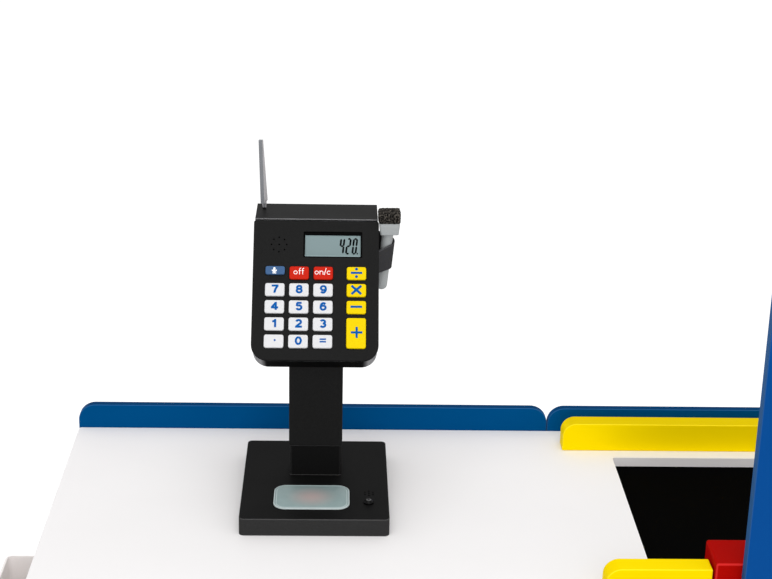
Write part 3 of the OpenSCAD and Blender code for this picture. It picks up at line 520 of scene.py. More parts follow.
def elastic_band(name, rgb):
    """Woven elastic: charcoal, with a painted highlight along its edges and fine ribs round the band, drawn at
    1.2 mm so that they show."""
    made, tree, place = start(name)
    ribs = add(tree, "ShaderNodeTexWave", {"Vector": place, "Scale": per(1.2) / math.tau},
               bands_direction="Z")
    yarn = add(tree, "ShaderNodeTexNoise", {"Vector": place, "Scale": per(0.7), "Detail": 2.0})
    soft, edges = along_edges(tree, 1.0)
    tone = add(tree, "ShaderNodeMix", {
        "Factor": yarn.outputs["Fac"], FIRST: shade(rgb, 0.75), SECOND: shade(rgb, 1.25)}, data_type="RGBA")
    # Painted highlight along the band's edges
    with_painted_light = add(tree, "ShaderNodeMix", {
        "Factor": edges, FIRST: tone.outputs[MIXED], SECOND: shade(rgb, 2.4)}, data_type="RGBA")
    bump = add(tree, "ShaderNodeBump", {
        "Height": ribs.outputs["Fac"], "Strength": 0.3, "Distance": 0.15 * MM, "Normal": soft})
    shader = add(tree, "ShaderNodeBsdfPrincipled", {
        "Base Color": with_painted_light.outputs[MIXED], "Roughness": 0.8, "Specular IOR Level": 0.05,
        "Normal": bump.outputs["Normal"]})
    return finish(made, tree, shader)


def smoke_acrylic(name, rgb, edge_rgb, foot_z):
    """Smoke-tinted acrylic: pale on its broad faces, darker on its sawn edges, on a black pin."""
    made, tree, place = start(name)
    cloud = add(tree, "ShaderNodeTexNoise", {"Vector": place, "Scale": per(12), "Detail": 2.0})
    broad = add(tree, "ShaderNodeMath", {0: looks(tree)["X"]}, operation="ABSOLUTE")
    factor = add(tree, "ShaderNodeMapRange", {"Value": broad.outputs[0], "From Min": 0.4, "From Max": 0.7})
    sides = add(tree, "ShaderNodeMix", {
        "Factor": factor.outputs["Result"], FIRST: shade(edge_rgb), SECOND: shade(rgb)}, data_type="RGBA")
    veil = add(tree, "ShaderNodeMapRange", {"Value": cloud.outputs["Fac"], "To Min": 0.85, "To Max": 1.15})
    tint = add(tree, "ShaderNodeVectorMath", {0: sides.outputs[MIXED], 1: veil.outputs["Result"]},
               operation="MULTIPLY")
    spot = add(tree, "ShaderNodeSeparateXYZ", {"Vector": place})
    above = add(tree, "ShaderNodeMapRange", {
        "Value": spot.outputs["Z"], "From Min": foot_z - 0.1 * MM, "From Max": foot_z + 0.1 * MM})
    tone = add(tree, "ShaderNodeMix", {
        "Factor": above.outputs["Result"], FIRST: shade(linear("#1c1c1d")), SECOND: tint.outputs[0]},
        data_type="RGBA")
    shader = add(tree, "ShaderNodeBsdfPrincipled", {
        "Base Color": tone.outputs[MIXED], "Roughness": 0.25, "IOR": 1.49, "Specular IOR Level": 0.15})
    return finish(made, tree, shader)


# Pieces

def dress(material, *nodes):
    """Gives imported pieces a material."""
    for name in nodes:
        slots = frame["nodes"][name].data.materials
        slots.clear()
        slots.append(material)


def fitted(node, axes):
    """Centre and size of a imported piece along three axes."""
    points = [vertex.co for vertex in frame["nodes"][node].data.vertices]
    spans = [(min(p.dot(a) for p in points), max(p.dot(a) for p in points)) for a in axes]
    centre = sum((a * (low + high) / 2 for a, (low, high) in zip(axes, spans)), Vector())
    return centre, Vector([high - low for low, high in spans])


def turned(axes, origin):
    """Matrix that sets a shape made at the origin on a place with the given axes."""
    return Matrix.Translation(origin) @ Matrix(axes).transposed().to_4x4()


def outward(node):
    """Axes of a pressed piece: across, up its face and out of it."""
    out = -PRESS[node]
    return X_AXIS, out.cross(X_AXIS), out


def on_top(node, axes):
    """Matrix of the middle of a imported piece's outer face."""
    centre, size = fitted(node, axes)
    return turned(axes, centre + axes[2] * size[2] / 2)


def piece(name, shape, materials, body, replaced=()):
    """Makes an object of a finished bmesh, on a body."""
    bmesh.ops.recalc_face_normals(shape, faces=shape.faces)
    mesh = bpy.data.meshes.new(name)
    shape.to_mesh(mesh)
    shape.free()
    for material in materials:
        mesh.materials.append(material)
    made = bpy.data.objects.new(name, mesh)
    bpy.context.scene.collection.objects.link(made)
    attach(made, body)
    if replaced:
        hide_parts(*replaced)
    return made


def smooth(made, degrees=35):
    """Shades a piece smooth, with its sharper edges kept."""
    made.data.shade_smooth()
    made.data.set_sharp_from_angle(angle=math.radians(degrees))


def slab(shape, width, height, depth, place=(0, 0, 0), turn=0):
    """Adds a flat bar with its foot on z = 0 to a bmesh."""
    matrix = Matrix.Translation(place) @ Matrix.Rotation(turn, 4, "Z") @ Matrix.Translation((0, 0, depth / 2))
    bmesh.ops.create_cube(shape, size=1, matrix=matrix @ Matrix.Diagonal((width, height, depth, 1)))


def disc(shape, radius, depth, place=(0, 0, 0), segments=24):
    """Adds a round dot with its foot on z = 0 to a bmesh."""
    matrix = Matrix.Translation(place) @ Matrix.Translation((0, 0, depth / 2))
    bmesh.ops.create_cone(shape, cap_ends=True, segments=segments, radius1=radius, radius2=radius,
                          depth=depth, matrix=matrix)


def only(kind, geometry):
    """Those of an operator's results that are of one kind."""
    return [item for item in geometry if isinstance(item, kind)]


def plate(shape, outline, depth):
    """Adds a flat plate of the given outline with its foot on z = 0 to a bmesh."""
    face = shape.faces.new([shape.verts.new((x, y, 0)) for x, y in outline])
    raised = bmesh.ops.extrude_face_region(shape, geom=[face])["geom"]
    bmesh.ops.translate(shape, vec=(0, 0, depth), verts=only(bmesh.types.BMVert, raised))


# Legends of the keys, drawn about the middle of the sign

def divide_sign(shape, sizes):
    """Bar between two dots."""
    radius, rise = 1.4 * MM, 3.6 * MM
    minus_sign(shape, sizes)
    for side in (-1, 1):
        disc(shape, radius, sizes.ink, (0, side * rise, 0))


def multiply_sign(shape, sizes):
    """Two crossed bars, one a little thicker so that no faces coincide."""
    long, wide, lean, thicker = 12 * MM, 1.1 * sizes.sign_stroke, math.radians(42), 0.1
    for side in (-1, 1):
        slab(shape, long, wide, sizes.ink * (1 + thicker * side), turn=side * lean)


def minus_sign(shape, sizes):
    """One bar."""
    slab(shape, sizes.sign_width, sizes.sign_stroke, sizes.ink)


def plus_sign(shape, sizes):
    """Upright cross, one bar a little thicker so that no faces coincide."""
    thicker = 0.2
    for turn in (0, 1):
        slab(shape, sizes.sign_width, sizes.sign_stroke, sizes.ink * (1 + thicker * turn),
             turn=turn * math.pi / 2)


def point_sign(shape, sizes):
    """Decimal point."""
    radius = 0.95 * MM
    disc(shape, radius, sizes.ink)


def equals_sign(shape, sizes):
    """Two short bars."""
    long, wide, rise = 5.8 * MM, 1.4 * MM, 1.2 * MM
    for side in (-1, 1):
        slab(shape, long, wide, sizes.ink, (0, side * rise, 0))


def arc(x, y, wide, high, first, last):
    """Points of part of an ellipse, between two angles in degrees."""
    step, fewest = 12, 4
    steps = max(fewest, round(abs(last - first) / step))
    turns = [math.radians(first + (last - first) * i / steps) for i in range(steps + 1)]
    return [(x + wide * math.cos(t), y + high * math.sin(t)) for t in turns]


def ring(x, y, wide, high):
    """Strokes of an ellipse, as its left and its right half."""
    return [arc(x, y, wide, high, 90, 270), arc(x, y, wide, high, -90, 90)]


# Strokes of the digits, in halves of a digit's width and height
STROKES = {
    "0": ring(0, 0, 1, 1),
    "1": [[(0.35, 1.25), (0.35, -1.25)], [(0.3, 0.85), (-0.2, 0.6), (-0.85, 0.5)]],
    "2": [arc(0, 0.42, 0.95, 0.58, 165, -35) + [(-0.8, -0.8)], [(-1.4, -1), (1.35, -1)]],
    "3": [arc(-0.05, 0.5, 0.9, 0.5, 155, -90), arc(-0.05, -0.46, 1, 0.54, 90, -155)],
    "4": [[(0.45, 1.2), (0.45, -1.2)], [(-1.5, -0.45), (1.45, -0.45)], [(0.4, 0.98), (-1.2, -0.42)]],
    "5": [[(-0.85, 1), (1.1, 1)], [(-0.7, 1), (-0.85, 0.02)], arc(0, -0.38, 1, 0.62, 140, -160)],
    "6": [*ring(0, -0.38, 1, 0.62), arc(0.12, -0.1, 1.12, 1.1, 45, 185)],
    "7": [[(-1.4, 1), (1.4, 1)], [(1.05, 0.95), (0.25, 0.1), (-0.3, -1.2)]],
    "8": ring(0, 0.52, 0.86, 0.48) + ring(0, -0.45, 1, 0.55),
}
STROKES["9"] = [[(-x, -y) for x, y in stroke] for stroke in STROKES["6"]]

# Radius and middle of the round letters and foot of the stems, in millimetres
ROUND, MIDDLE, FOOT = 1.55, -1.25, -3.15


def letter_o(x):
    """Strokes of the letter o about x, in millimetres."""
    return ring(x, MIDDLE, ROUND, ROUND)


def letter_f(x):
    """Strokes of the letter f with its stem at x, in millimetres."""
    return [[(x, FOOT)] + arc(x + 1, 1.85, 1, 0.95, 180, 75), [(x - 0.95, 0.45), (x + 1.2, 0.45)]]


def letter_n(x):
    """Strokes of the letter n with its first stem at x, in millimetres."""
    return [[(x, FOOT), (x, 0.65)], arc(x + 1.5, -1.05, 1.4, 1.3, 170, 0) + [(x + 2.9, FOOT)]]


# Strokes of the words on the power keys, in millimetres: off, and on with a stroke and a c
WORDS = {
    "off": [*letter_o(-3), *letter_f(0.65), *letter_f(3.5)],
    "on_clear": [*letter_o(-5.7), *letter_n(-2.8), [(1.2, -3.4), (3, 3.2)],
                 arc(5.4, MIDDLE, ROUND, ROUND, 45, 315)],
}


def draw_strokes(shape, strokes, wide, high, stroke_width, ink):
    """Draws strokes, each a little thicker than the one before so that no faces coincide."""
    half, thicker = stroke_width / 2, 0.15
    for i, stroke in enumerate(strokes):
        points = [Vector((x * wide, y * high)) for x, y in stroke]
        sides = []
        for j, point in enumerate(points):
            along = (points[min(j + 1, len(points) - 1)] - points[max(j - 1, 0)]).normalized() * half
            across = Vector((-along.y, along.x))
            sides.append((point + across, point - across))
        plate(shape, [a for a, b in sides] + [b for a, b in sides[::-1]], ink * (1 + thicker * i))


def microphone_sign(shape, sizes):
    """Capsule in a fork on a foot."""
    capsule = arc(0, 1.7, 1, 1, 0, 180) + arc(0, 0.1, 1, 1, 180, 360)
    fork = arc(0, 0.4, 2.4, 2.3, 180, 360) + arc(0, 0.4, 1.5, 1.4, 360, 180)
    for outline in (capsule, fork):
        plate(shape, [(x * MM, y * MM) for x, y in outline], sizes.ink)
    for wide, high, middle, thicker in ((0.8, 1.4, -2.1, 1.2), (3.5, 0.8, -2.8, 1.4)):
        slab(shape, wide * MM, high * MM, sizes.ink * thicker, (0, middle * MM, 0))


# Signs with their place on the key, in millimetres
SIGNS = {
    "divide": (divide_sign, (0, 0.4)), "multiply": (multiply_sign, (0, 0.3)),
    "minus": (minus_sign, (0, 0.5)), "plus": (plus_sign, (0.5, 0.6)),
    "point": (point_sign, (1.0, 0.8)), "equals": (equals_sign, (0.4, 0.9)),
    "microphone": (microphone_sign, (-0.7, 0.0)),
}
WORD_PLACE = (-0.3, 1.5)
DIGIT_PLACE = (0.3, 0.5)
# Segments of each digit that the display shows, by their usual letters
SEGMENTS = {"0": "abcdef", "2": "abged", "4": "fgbc"}


def segment_bar(shape, start_at, end_at, stroke, depth):
    """Adds one pointed display segment between two points to a bmesh."""
    along = (end_at - start_at).normalized()
    across = Vector((-along.y, along.x)) * stroke / 2
    gap_share = 0.06
    gap = along * stroke * gap_share
    tip = along * stroke / 2
    first, last = start_at + gap, end_at - gap
    plate(shape, [first, first + tip + across, last - tip + across,
                  last, last - tip - across, first + tip - across], depth)


def segment_digit(shape, digit, left, sizes):
    """Adds one display digit, its left strokes at left and its middle at y = 0, to a bmesh."""
    half = sizes.segment_height / 2
    corners = {(i, j): Vector((left + i * sizes.segment_width, j * half)) for i in (0, 1) for j in (-1, 0, 1)}
    lines = {"a": ((0, 1), (1, 1)), "b": ((1, 1), (1, 0)), "c": ((1, 0), (1, -1)), "d": ((1, -1), (0, -1)),
             "e": ((0, -1), (0, 0)), "f": ((0, 0), (0, 1)), "g": ((0, 0), (1, 0))}
    for name in SEGMENTS[digit]:
        first, last = lines[name]
        segment_bar(shape, corners[first], corners[last], sizes.segment_stroke, sizes.ink)


def cross_head_screw(shape, sizes, long, place):
    """Adds a countersunk screw with a cross recess, its head's face on z = 0, to a bmesh."""
    arm, reach, deep, head = 0.45 * MM, 2.1 * MM, 1.3 * MM, 2.4 * MM
    taper = 0.6
    new = bmesh.new()
    bmesh.ops.create_circle(new, cap_ends=True, segments=32, radius=sizes.screw_head)
    for axis in (X_AXIS, Y_AXIS):
        for cut in (-reach, -arm, arm, reach):
            bmesh.ops.bisect_plane(new, geom=new.verts[:] + new.edges[:] + new.faces[:],
                                   plane_co=axis * cut, plane_no=axis)
    rim = [edge for edge in new.edges if edge.is_boundary]
    recess = []
    for face in new.faces:
        near, far = sorted(abs(v) for v in face.calc_center_median().xy)
        if far < reach and near < arm:
            recess.append(face)
    bottom = only(bmesh.types.BMVert, bmesh.ops.extrude_face_region(new, geom=recess)["geom"])
    bmesh.ops.delete(new, geom=recess, context="FACES")
    bmesh.ops.translate(new, vec=(0, 0, -deep), verts=bottom)
    bmesh.ops.scale(new, vec=(taper, taper, 1), verts=bottom)
    for shrink, down in ((sizes.screw_shank / sizes.screw_head, -head), (1, head - long)):
        made = bmesh.ops.extrude_edge_only(new, edges=rim)["geom"]
        verts = only(bmesh.types.BMVert, made)
        bmesh.ops.scale(new, vec=(shrink, shrink, 1), verts=verts)
        bmesh.ops.translate(new, vec=(0, 0, down), verts=verts)
        rim = only(bmesh.types.BMEdge, made)
    bmesh.ops.edgeloop_fill(new, edges=rim)
    bmesh.ops.transform(new, matrix=place, verts=new.verts)
    mesh = bpy.data.meshes.new("screw")
    new.to_mesh(mesh)
    new.free()
    shape.from_mesh(mesh)
    bpy.data.meshes.remove(mesh)


# Operators

class STALL_OT_cabinet(bpy.types.Operator):
    """Dress the cabinet's boards, glides and side bin"""

    bl_idname = "stall.cabinet"
    bl_label = "Cabinet"

    def execute(self, context):
        colours = context.scene.stall_colours
        board = melamine("melamine_board", colours.board)
        dress(board, "counter_top", "end_panel_left", "end_panel_right", "centre_panel", "shelves", "apron",
              "bearer_board")
        # The blue's tops are painted darker, as shade, and its edges carry a painted highlight
        dress(lacquer("blue_lacquer", colours.blue, roof=0.6, glint=1.1), "front_panel_left",
              "front_panel_right")
        # The uprights' edges carry a painted highlight and their sides a painted sheen
        dress(lacquer("upright_lacquer", colours.upright, glint=1.05, side=colours.upright_side_sheen), "uprights")
        dress(grained_abs("polypropylene_bin", [(0, colours.bin)], fleck=0.02, grit=1.2, level=0.1),
              "side_bin")
        dress(grained_abs("polyethylene_glide", [(0, linear("#3a3b3d"))], grit=1.5), "floor_glides")
        return {"FINISHED"}


class STALL_OT_belt(bpy.types.Operator):
    """Dress the goods belt, its rollers, rails and crank"""

    bl_idname = "stall.belt"
    bl_label = "Goods belt"

    def execute(self, context):
        colours = context.scene.stall_colours
        # Tops of the yellow and red are painted a little darker, as shade, and their edges carry a painted
        # highlight
        yellow = lacquer("yellow_lacquer", colours.yellow, roof=0.95, glint=1.02)
        red = lacquer("red_lacquer", colours.red, roof=0.95, glint=1.5)
        dress(belt_rubber("belt_rubber", colours.belt), "belt")
        dress(wood("birch_plywood", "#d2b385", "#b08a58", grain_axis=0, fibre_width=6), "belt_bed")
        dress(wood("sanded_beech", "#dcbf92", "#b98f5e", grain_axis=1, fibre_width=4), "drive_roller",
              "idler_roller")
        dress(grained_abs("natural_nylon", [(0, linear("#dcdcd4"))], fleck=0.03, rough=0.35, level=0.2),
              "roller_bushes")
        # Copy of the yellow lacquer for the back rail, its top painted darker as shade
        dress(lacquer("back_rail_shaded_lacquer", colours.yellow, roof=0.78, glint=1.02), "belt_rail_back")
        dress(yellow, "belt_rails_front", "crank_knob", "header_board")
        dress(red, "crank_wheel", "post_blocks")
        return {"FINISHED"}


class STALL_OT_screws(bpy.types.Operator):
    """Make the cross-head screws of the sign frame and the bin"""

    bl_idname = "stall.screws"
    bl_label = "Screws"

    def execute(self, context):
        sizes = context.scene.stall_sizes
        shape = bmesh.new()
        low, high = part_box("uprights")
        blocks_low, blocks_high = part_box("post_blocks")
        header_low, header_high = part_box("header_board")
        half_width, side = 30 * MM, 18 * MM
        below_apron_top, from_header_edge = 45 * MM, 28 * MM
        block_screw, board_screw, bin_screw = 38 * MM, 19 * MM, 8.5 * MM
        rows = [((blocks_low.z + blocks_high.z) / 2, block_screw),
                (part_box("apron")[1].z - below_apron_top, board_screw),
                (header_high.z - from_header_edge, board_screw),
                (header_low.z + from_header_edge, board_screw)]
        to_cashier = Matrix.Rotation(math.pi / 2, 4, "X")
        for x in (low.x + half_width, high.x - half_width):
            for offset in (-side, side):
                for z, long in rows:
                    place = Matrix.Translation((x + offset, low.y, z)) @ to_cashier
                    cross_head_screw(shape, sizes, long, place)
        bin_low, bin_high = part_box("side_bin")
        bin_wall, from_bin_end, below_bin_rim = 2.5 * MM, 20 * MM, 18 * MM
        into_bin = Matrix.Rotation(-math.pi / 2, 4, "Y")
        for y in (bin_low.y + from_bin_end, bin_high.y - from_bin_end):
            place = Matrix.Translation((bin_high.x - bin_wall, y, bin_high.z - below_bin_rim)) @ into_bin
            cross_head_screw(shape, sizes, bin_screw, place)
        smooth(piece("cross_head_screws", shape, [zinc_steel("zinc_plated_steel")], "stall",
                     ["wood_screws"]))
        return {"FINISHED"}


class STALL_OT_terminal(bpy.types.Operator):
    """Dress the terminal's base, column and head"""

    bl_idname = "stall.terminal"
    bl_label = "Terminal"

    def execute(self, context):
        colours = context.scene.stall_colours
        black, edge_highlight = colours.black_shade, colours.black_edge_highlight
        wall, roof = colours.black_wall, colours.black_roof_shade
        behind_button, vents_reach = 17 * MM, 10 * MM
        vents = sum(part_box("scan_button"), Vector()) / 2 + Y_AXIS * behind_button
        # Base: walls painted lighter as light, roof darker as shade, a painted highlight along the walls' edges,
        # and painted shade along the roof's edges and inside the vents
        dress(grained_abs("base_abs", [(0.65, wall), (0.95, roof)], [(0.65, edge_highlight), (0.95, black)],
                          hollow=(vents, vents_reach, [(0.85, black), (0.95, roof)])), "base_shell")
        dress(grained_abs("column_abs", [(0, colours.black_column)]), "column_tube")
        # Socket: painted darker as shade, with a painted highlight and painted shade along its edges
        dress(grained_abs("socket_abs", [(0, colours.black_socket_shade)], [(0.5, edge_highlight), (0.95, black)]),
              "column_socket")
        # Head: painted shade on its underside, painted highlights on its lower corners and along the brow, and the
        # wall tone on faces that look to the rear
        bright, brow = colours.black_corner_highlight, (0.95, colours.black_brow)
        under = [(-0.78, black), (-0.7, bright), (-0.15, bright), (-0.02, wall)]
        dress(grained_abs("head_abs", [*under, (0.65, wall), brow],
                          [*under, (0.3, bright), (0.75, bright), brow], rear=wall), "head_shell")
        axes = outward("key_7")
        centre, size = fitted("head_face", axes)
        face_depth = 0.4 * MM
        front = (axes[2], centre.dot(axes[2]) + size[2] / 2 - face_depth)
        # Face: painted shade in the recesses below the face, around the display, the keys and the speaker holes
        dress(grained_abs("face_abs", [(0, colours.black_face)], [(0, black)], front), "head_face")
        dress(grained_abs("inner_abs", [(0, colours.black_column)]), "battery_door", "base_plate",
              "head_speaker")
        # Scan button: a painted highlight in a ring on its dome
        dress(grained_abs("button_abs", [(0.86, black), (0.92, edge_highlight), (0.98, black)],
                          level=0.1, rough=0.2), "scan_button")
        dress(circuit_board("fibreglass_circuit_board"), "scanner_board", "keypad_board")
        return {"FINISHED"}


class STALL_OT_scanner(bpy.types.Operator):
    """Make the pane of the scan window"""

    bl_idname = "stall.scanner"
    bl_label = "Scan window"

    def execute(self, context):
        colours = context.scene.stall_colours
        low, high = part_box("scan_window")
        centre, size = (low + high) / 2, high - low
        shape = bmesh.new()
        slab(shape, size.x, size.y, size.z, (centre.x, centre.y, low.z))
        upright = [e for e in shape.edges if abs(e.verts[0].co.z - e.verts[1].co.z) > size.z / 2]
        bmesh.ops.bevel(shape, geom=upright, offset=context.scene.stall_sizes.window_corner, segments=12,
                        profile=0.5, affect="EDGES", material=-1)
        top = max(shape.faces, key=lambda f: f.calc_center_median().z)
        bmesh.ops.bevel(shape, geom=top.edges[:], offset=0.5 * MM, segments=3, profile=0.5, affect="EDGES",
                        material=-1)
        top = max(shape.faces, key=lambda f: (f.calc_center_median().z, f.calc_area()))
        # The rim faces take the paler rim finish, a painted highlight
        frosted, edge_highlight = 0, 1
        for face in shape.faces:
            face.material_index = edge_highlight
        for inward, up, finish_of_top in ((0.5, 0, frosted), (0.4, -0.35, frosted), (0.9, 0, edge_highlight),
                                          (0.5, 0.2, frosted)):
            bmesh.ops.inset_region(shape, faces=[top], thickness=inward * MM, depth=0)
            bmesh.ops.translate(shape, vec=(0, 0, up * MM), verts=top.verts[:])
            top.material_index = finish_of_top
        pane = frosted_acrylic("frosted_acrylic", colours.window, colours.window_glow)
        rim = key_plastic("polished_rim_with_painted_highlight", colours.window_rim_highlight)
        smooth(piece("scan_window_pane", shape, [pane, rim], "stall", ["scan_window"]), 25)
        return {"FINISHED"}


class STALL_OT_display(bpy.types.Operator):
    """Dress the display and make its digits"""

    bl_idname = "stall.display"
    bl_label = "Display"

    def execute(self, context):
        colours = context.scene.stall_colours
        sizes = context.scene.stall_sizes
        dress(display_glass("display_glass", colours.display), "lcd_panel")
        axes = outward("key_7")
        size = fitted("lcd_panel", axes)[1]
        text, margin = "420", 5.4 * MM
        point_radius, point_gap = 0.7 * MM, 1.6 * MM
        last = size[0] / 2 - margin - sizes.segment_width
        shape = bmesh.new()
        for i, digit in enumerate(text):
            segment_digit(shape, digit, last - (len(text) - 1 - i) * sizes.segment_pitch, sizes)
        point = (last + sizes.segment_width + point_gap, -sizes.segment_height / 2, 0)
        disc(shape, point_radius, sizes.ink, point, 12)
        slanted = Matrix.Identity(4)
        slanted[0][1] = math.tan(sizes.segment_slant)
        bmesh.ops.transform(shape, matrix=on_top("lcd_panel", axes) @ slanted, verts=shape.verts)
        piece("display_digits", shape, [pad_ink("display_segment", colours.segment)], "stall")
        return {"FINISHED"}


class STALL_OT_keys(bpy.types.Operator):
    """Dress the keys and print their legends"""

    bl_idname = "stall.keys"
    bl_label = "Keys"

    def execute(self, context):
        colours = context.scene.stall_colours
        plastics = {tone: key_plastic("moulded_" + tone, getattr(colours, tone))
                    for tone in ("key_white", "key_yellow", "key_red", "key_slate")}
        blue = pad_ink("blue_pad_ink", colours.ink_blue)
        white = pad_ink("white_pad_ink", colours.ink_white)
        slots = {row["node"]: row["material_slot"] for row in frame["record"]["subparts"]}
        for node in sorted(n for n in frame["nodes"] if n.startswith("key_")):
            dress(plastics[slots[node]], node)
            sign = node[len("key_"):]
            shape = bmesh.new()
            aside, up = self.legend(shape, sign, context.scene.stall_sizes)
            place = on_top(node, outward(node)) @ Matrix.Translation((aside * MM, up * MM, 0))
            bmesh.ops.transform(shape, matrix=place, verts=shape.verts)
            ink = white if slots[node] in ("key_red", "key_slate") else blue
            piece("legend_" + sign, shape, [ink], node)
        return {"FINISHED"}

    def legend(self, shape, sign, sizes):
        """Draws a key's legend and returns its place on the key."""
        if sign in SIGNS:
            draw, place = SIGNS[sign]
            draw(shape, sizes)
            return place
        if sign in WORDS:
            draw_strokes(shape, WORDS[sign], MM, MM, sizes.word_stroke, sizes.ink)
            return WORD_PLACE
        wide, high = sizes.digit_width - sizes.digit_stroke, sizes.digit_height - sizes.digit_stroke
        draw_strokes(shape, STROKES[sign], wide / 2, high / 2, sizes.digit_stroke, sizes.ink)
        return DIGIT_PLACE


class STALL_OT_microphone(bpy.types.Operator):
    """Dress the microphone and its band, and make its foam"""

    bl_idname = "stall.microphone"
    bl_label = "Microphone"

    def execute(self, context):
        colours = context.scene.stall_colours
        sizes = context.scene.stall_sizes
        dress(grained_abs("grey_grained_abs", [(0, colours.microphone)], fleck=0.06, grit=0.8, level=0.1),
              "mic_body")
        dress(elastic_band("woven_elastic", colours.band), "mic_loop")
        roof = max(frame["nodes"]["mic_foam"].data.polygons, key=lambda p: p.area * p.normal.z)
        axes = (Y_AXIS.cross(roof.normal), Y_AXIS, roof.normal.copy())
        centre, size = fitted("mic_foam", axes)
        size += Vector((2 * sizes.foam_bulge, 2 * sizes.foam_bulge, sizes.foam_swell))
        centre += axes[2] * sizes.foam_swell / 2
        corner, long_edge, seat = 1.6 * MM, 4 * MM, 0.3 * MM
        finer, finer_share, lift = 2.3, 0.5, 0.5
        shape = bmesh.new()
        bmesh.ops.create_cube(shape, size=1, matrix=Matrix.Diagonal((*size, 1)))
        bmesh.ops.bevel(shape, geom=shape.edges[:], offset=corner, segments=2, profile=0.5, affect="EDGES",
                        material=-1)
        flats = [e for e in shape.edges if e.calc_length() > long_edge]
        bmesh.ops.subdivide_edges(shape, edges=flats, cuts=26, use_grid_fill=True)
        shape.normal_update()
        foot = -size[2] / 2
        for vertex in shape.verts:
            depth = noise.noise(vertex.co / sizes.foam_grain)
            depth += finer_share * noise.noise(vertex.co * finer / sizes.foam_grain)
            if vertex.co.z > foot + seat:
                vertex.co += vertex.normal * sizes.foam_roughness * (depth + lift)
        bmesh.ops.transform(shape, matrix=turned(axes, centre), verts=shape.verts)
        foam = piece("mic_foam_block", shape, [open_foam("open_cell_foam", colours.foam, colours.foam_wall)],
                     "microphone", ["mic_foam"])
        smooth(foam, 60)
        return {"FINISHED"}


class STALL_OT_aerial(bpy.types.Operator):
    """Dress the aerial"""

    bl_idname = "stall.aerial"
    bl_label = "Aerial"

    def execute(self, context):
        colours = context.scene.stall_colours
        pin_height = 2 * MM
        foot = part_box("head_shell")[1].z + pin_height
        dress(smoke_acrylic("smoke_acrylic", colours.aerial, colours.aerial_edge, foot), "aerial")
        return {"FINISHED"}


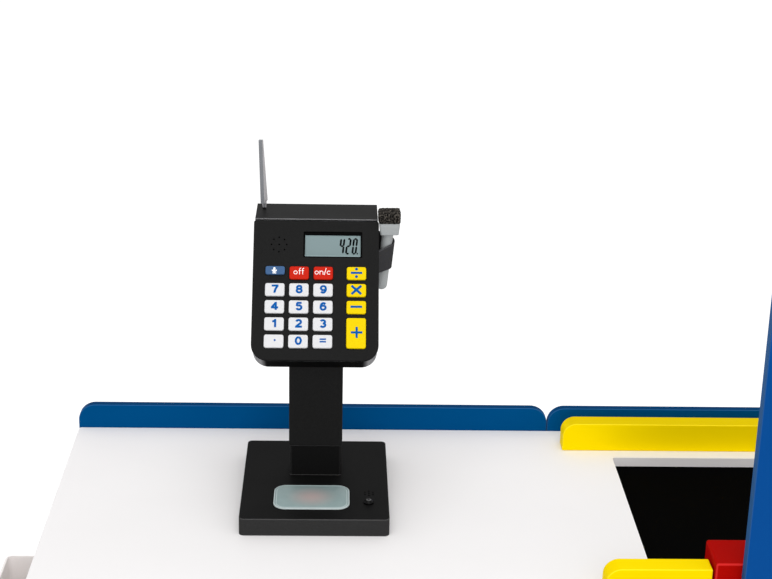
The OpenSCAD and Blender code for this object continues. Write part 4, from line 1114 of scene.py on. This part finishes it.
class STALL_OT_studio(bpy.types.Operator):
    """Set up the floor, light and camera"""

    bl_idname = "stall.studio"
    bl_label = "Studio"

    def execute(self, context):
        studio = context.scene.stall_studio
        context.scene.view_settings.view_transform = "Standard"
        self.floor(studio.floor_glow)
        self.sky(context.scene, studio.sky)
        self.lamp("key_lamp", (-0.25, -0.9, 3.2), 2.2, studio.key_light)
        self.lamp("front_lamp", (0.0, -3.2, 1.5), 2.0, studio.front_light)
        self.lamp("side_lamp", (2.2, -1.4, 1.5), 1.2, studio.side_light)
        self.camera(context.scene, studio)
        return {"FINISHED"}

    def floor(self, glow):
        """Makes the pale floor, which keeps the stall's shadow and is white where it is seen."""
        reach, paint_grey, white = 14, (0.8, 0.8, 0.8, 1), (1, 1, 1, 1)
        shape = bmesh.new()
        bmesh.ops.create_grid(shape, x_segments=1, y_segments=1, size=reach)
        mesh = bpy.data.meshes.new("floor")
        shape.to_mesh(mesh)
        shape.free()
        material, tree, _ = start("studio_floor")
        paint = add(tree, "ShaderNodeBsdfDiffuse", {"Color": paint_grey})
        strength = add(tree, "ShaderNodeMath", {0: self.seen(tree), 1: glow}, operation="MULTIPLY")
        light = add(tree, "ShaderNodeEmission", {"Color": white, "Strength": strength.outputs[0]})
        both = add(tree, "ShaderNodeAddShader", {0: paint.outputs[0], 1: light.outputs[0]})
        mesh.materials.append(finish(material, tree, both))
        made = bpy.data.objects.new("floor", mesh)
        bpy.context.scene.collection.objects.link(made)

    def seen(self, tree):
        """One where a camera, glossy or transmission ray looks, and otherwise nothing."""
        path = add(tree, "ShaderNodeLightPath")
        shiny = add(tree, "ShaderNodeMath", {
            0: path.outputs["Is Glossy Ray"], 1: path.outputs["Is Transmission Ray"]}, operation="MAXIMUM")
        seen = add(tree, "ShaderNodeMath", {0: path.outputs["Is Camera Ray"], 1: shiny.outputs[0]},
                   operation="MAXIMUM")
        return seen.outputs[0]

    def sky(self, scene, strength):
        """Makes the even light from all around, which is white where it is seen."""
        world = bpy.data.worlds.new("studio")
        world.use_nodes = True
        tree = world.node_tree
        tree.nodes.clear()
        level = add(tree, "ShaderNodeMapRange", {"Value": self.seen(tree), "To Min": strength, "To Max": 1.0})
        light = add(tree, "ShaderNodeBackground", {
            "Color": (1, 1, 1, 1), "Strength": level.outputs["Result"]})
        add(tree, "ShaderNodeOutputWorld", {"Surface": light.outputs[0]})
        scene.world = world

    def lamp(self, name, place, size, watts):
        """Makes a square lamp that looks at the middle of the stall."""
        middle = Vector((0, 0, 0.6))
        light = bpy.data.lights.new(name, "AREA")
        light.size = size
        light.energy = watts
        made = bpy.data.objects.new(name, light)
        made.location = place
        made.rotation_mode = "QUATERNION"
        made.rotation_quaternion = (middle - Vector(place)).to_track_quat("-Z", "Y")
        bpy.context.scene.collection.objects.link(made)

    def camera(self, scene, studio):
        """Makes the camera, from its place beside the stall and its three turns."""
        pitch, yaw, roll = studio.camera_pitch, studio.camera_yaw, studio.camera_roll
        ahead = Vector((math.sin(yaw) * math.cos(pitch), math.cos(yaw) * math.cos(pitch), -math.sin(pitch)))
        level = Vector((math.cos(yaw), -math.sin(yaw), 0))
        right = math.cos(roll) * level + math.sin(roll) * ahead.cross(level)
        place = Vector((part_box("counter_top")[0].x + studio.camera_aside,
                        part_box("front_panel_left")[0].y - studio.camera_back, studio.camera_height))
        camera = bpy.data.cameras.new("camera")
        camera.sensor_fit = "HORIZONTAL"
        camera.sensor_width = 36
        camera.lens = studio.camera_lens
        made = bpy.data.objects.new("camera", camera)
        made.matrix_world = turned((right, (-ahead).cross(right), -ahead), place)
        scene.collection.objects.link(made)
        scene.camera = made


class VIEW3D_PT_stall(bpy.types.Panel):
    """Sidebar panel of the stall"""

    bl_label = "Toy market stall"
    bl_space_type = "VIEW_3D"
    bl_region_type = "UI"
    bl_category = "Stall"

    def draw(self, context):
        """Lists the operators and the values that a user may change."""
        for operator in OPERATORS:
            self.layout.operator(operator.bl_idname)
        for group in (context.scene.stall_colours, context.scene.stall_sizes, context.scene.stall_studio):
            column = self.layout.column()
            for name in group.__annotations__:
                column.prop(group, name)


OPERATORS = (STALL_OT_cabinet, STALL_OT_belt, STALL_OT_screws, STALL_OT_terminal, STALL_OT_scanner,
             STALL_OT_display, STALL_OT_keys, STALL_OT_microphone, STALL_OT_aerial, STALL_OT_studio)
GROUPS = {"stall_colours": StallColours, "stall_sizes": StallSizes, "stall_studio": StallStudio}


def register():
    """Registers the classes and puts their properties on the scene."""
    for name, group in GROUPS.items():
        bpy.utils.register_class(group)
        setattr(bpy.types.Scene, name, PointerProperty(type=group))
    for cls in (*OPERATORS, VIEW3D_PT_stall):
        bpy.utils.register_class(cls)


def unregister():
    """Takes the classes and their properties away."""
    for cls in (VIEW3D_PT_stall, *reversed(OPERATORS)):
        bpy.utils.unregister_class(cls)
    for name, group in GROUPS.items():
        delattr(bpy.types.Scene, name)
        bpy.utils.unregister_class(group)


def main():
    """Builds the dressed stall."""
    register()
    bpy.ops.stall.cabinet()
    bpy.ops.stall.belt()
    bpy.ops.stall.screws()
    bpy.ops.stall.terminal()
    bpy.ops.stall.scanner()
    bpy.ops.stall.display()
    bpy.ops.stall.keys()
    bpy.ops.stall.microphone()
    bpy.ops.stall.aerial()
    bpy.ops.stall.studio()


if __name__ == "__main__":
    main()
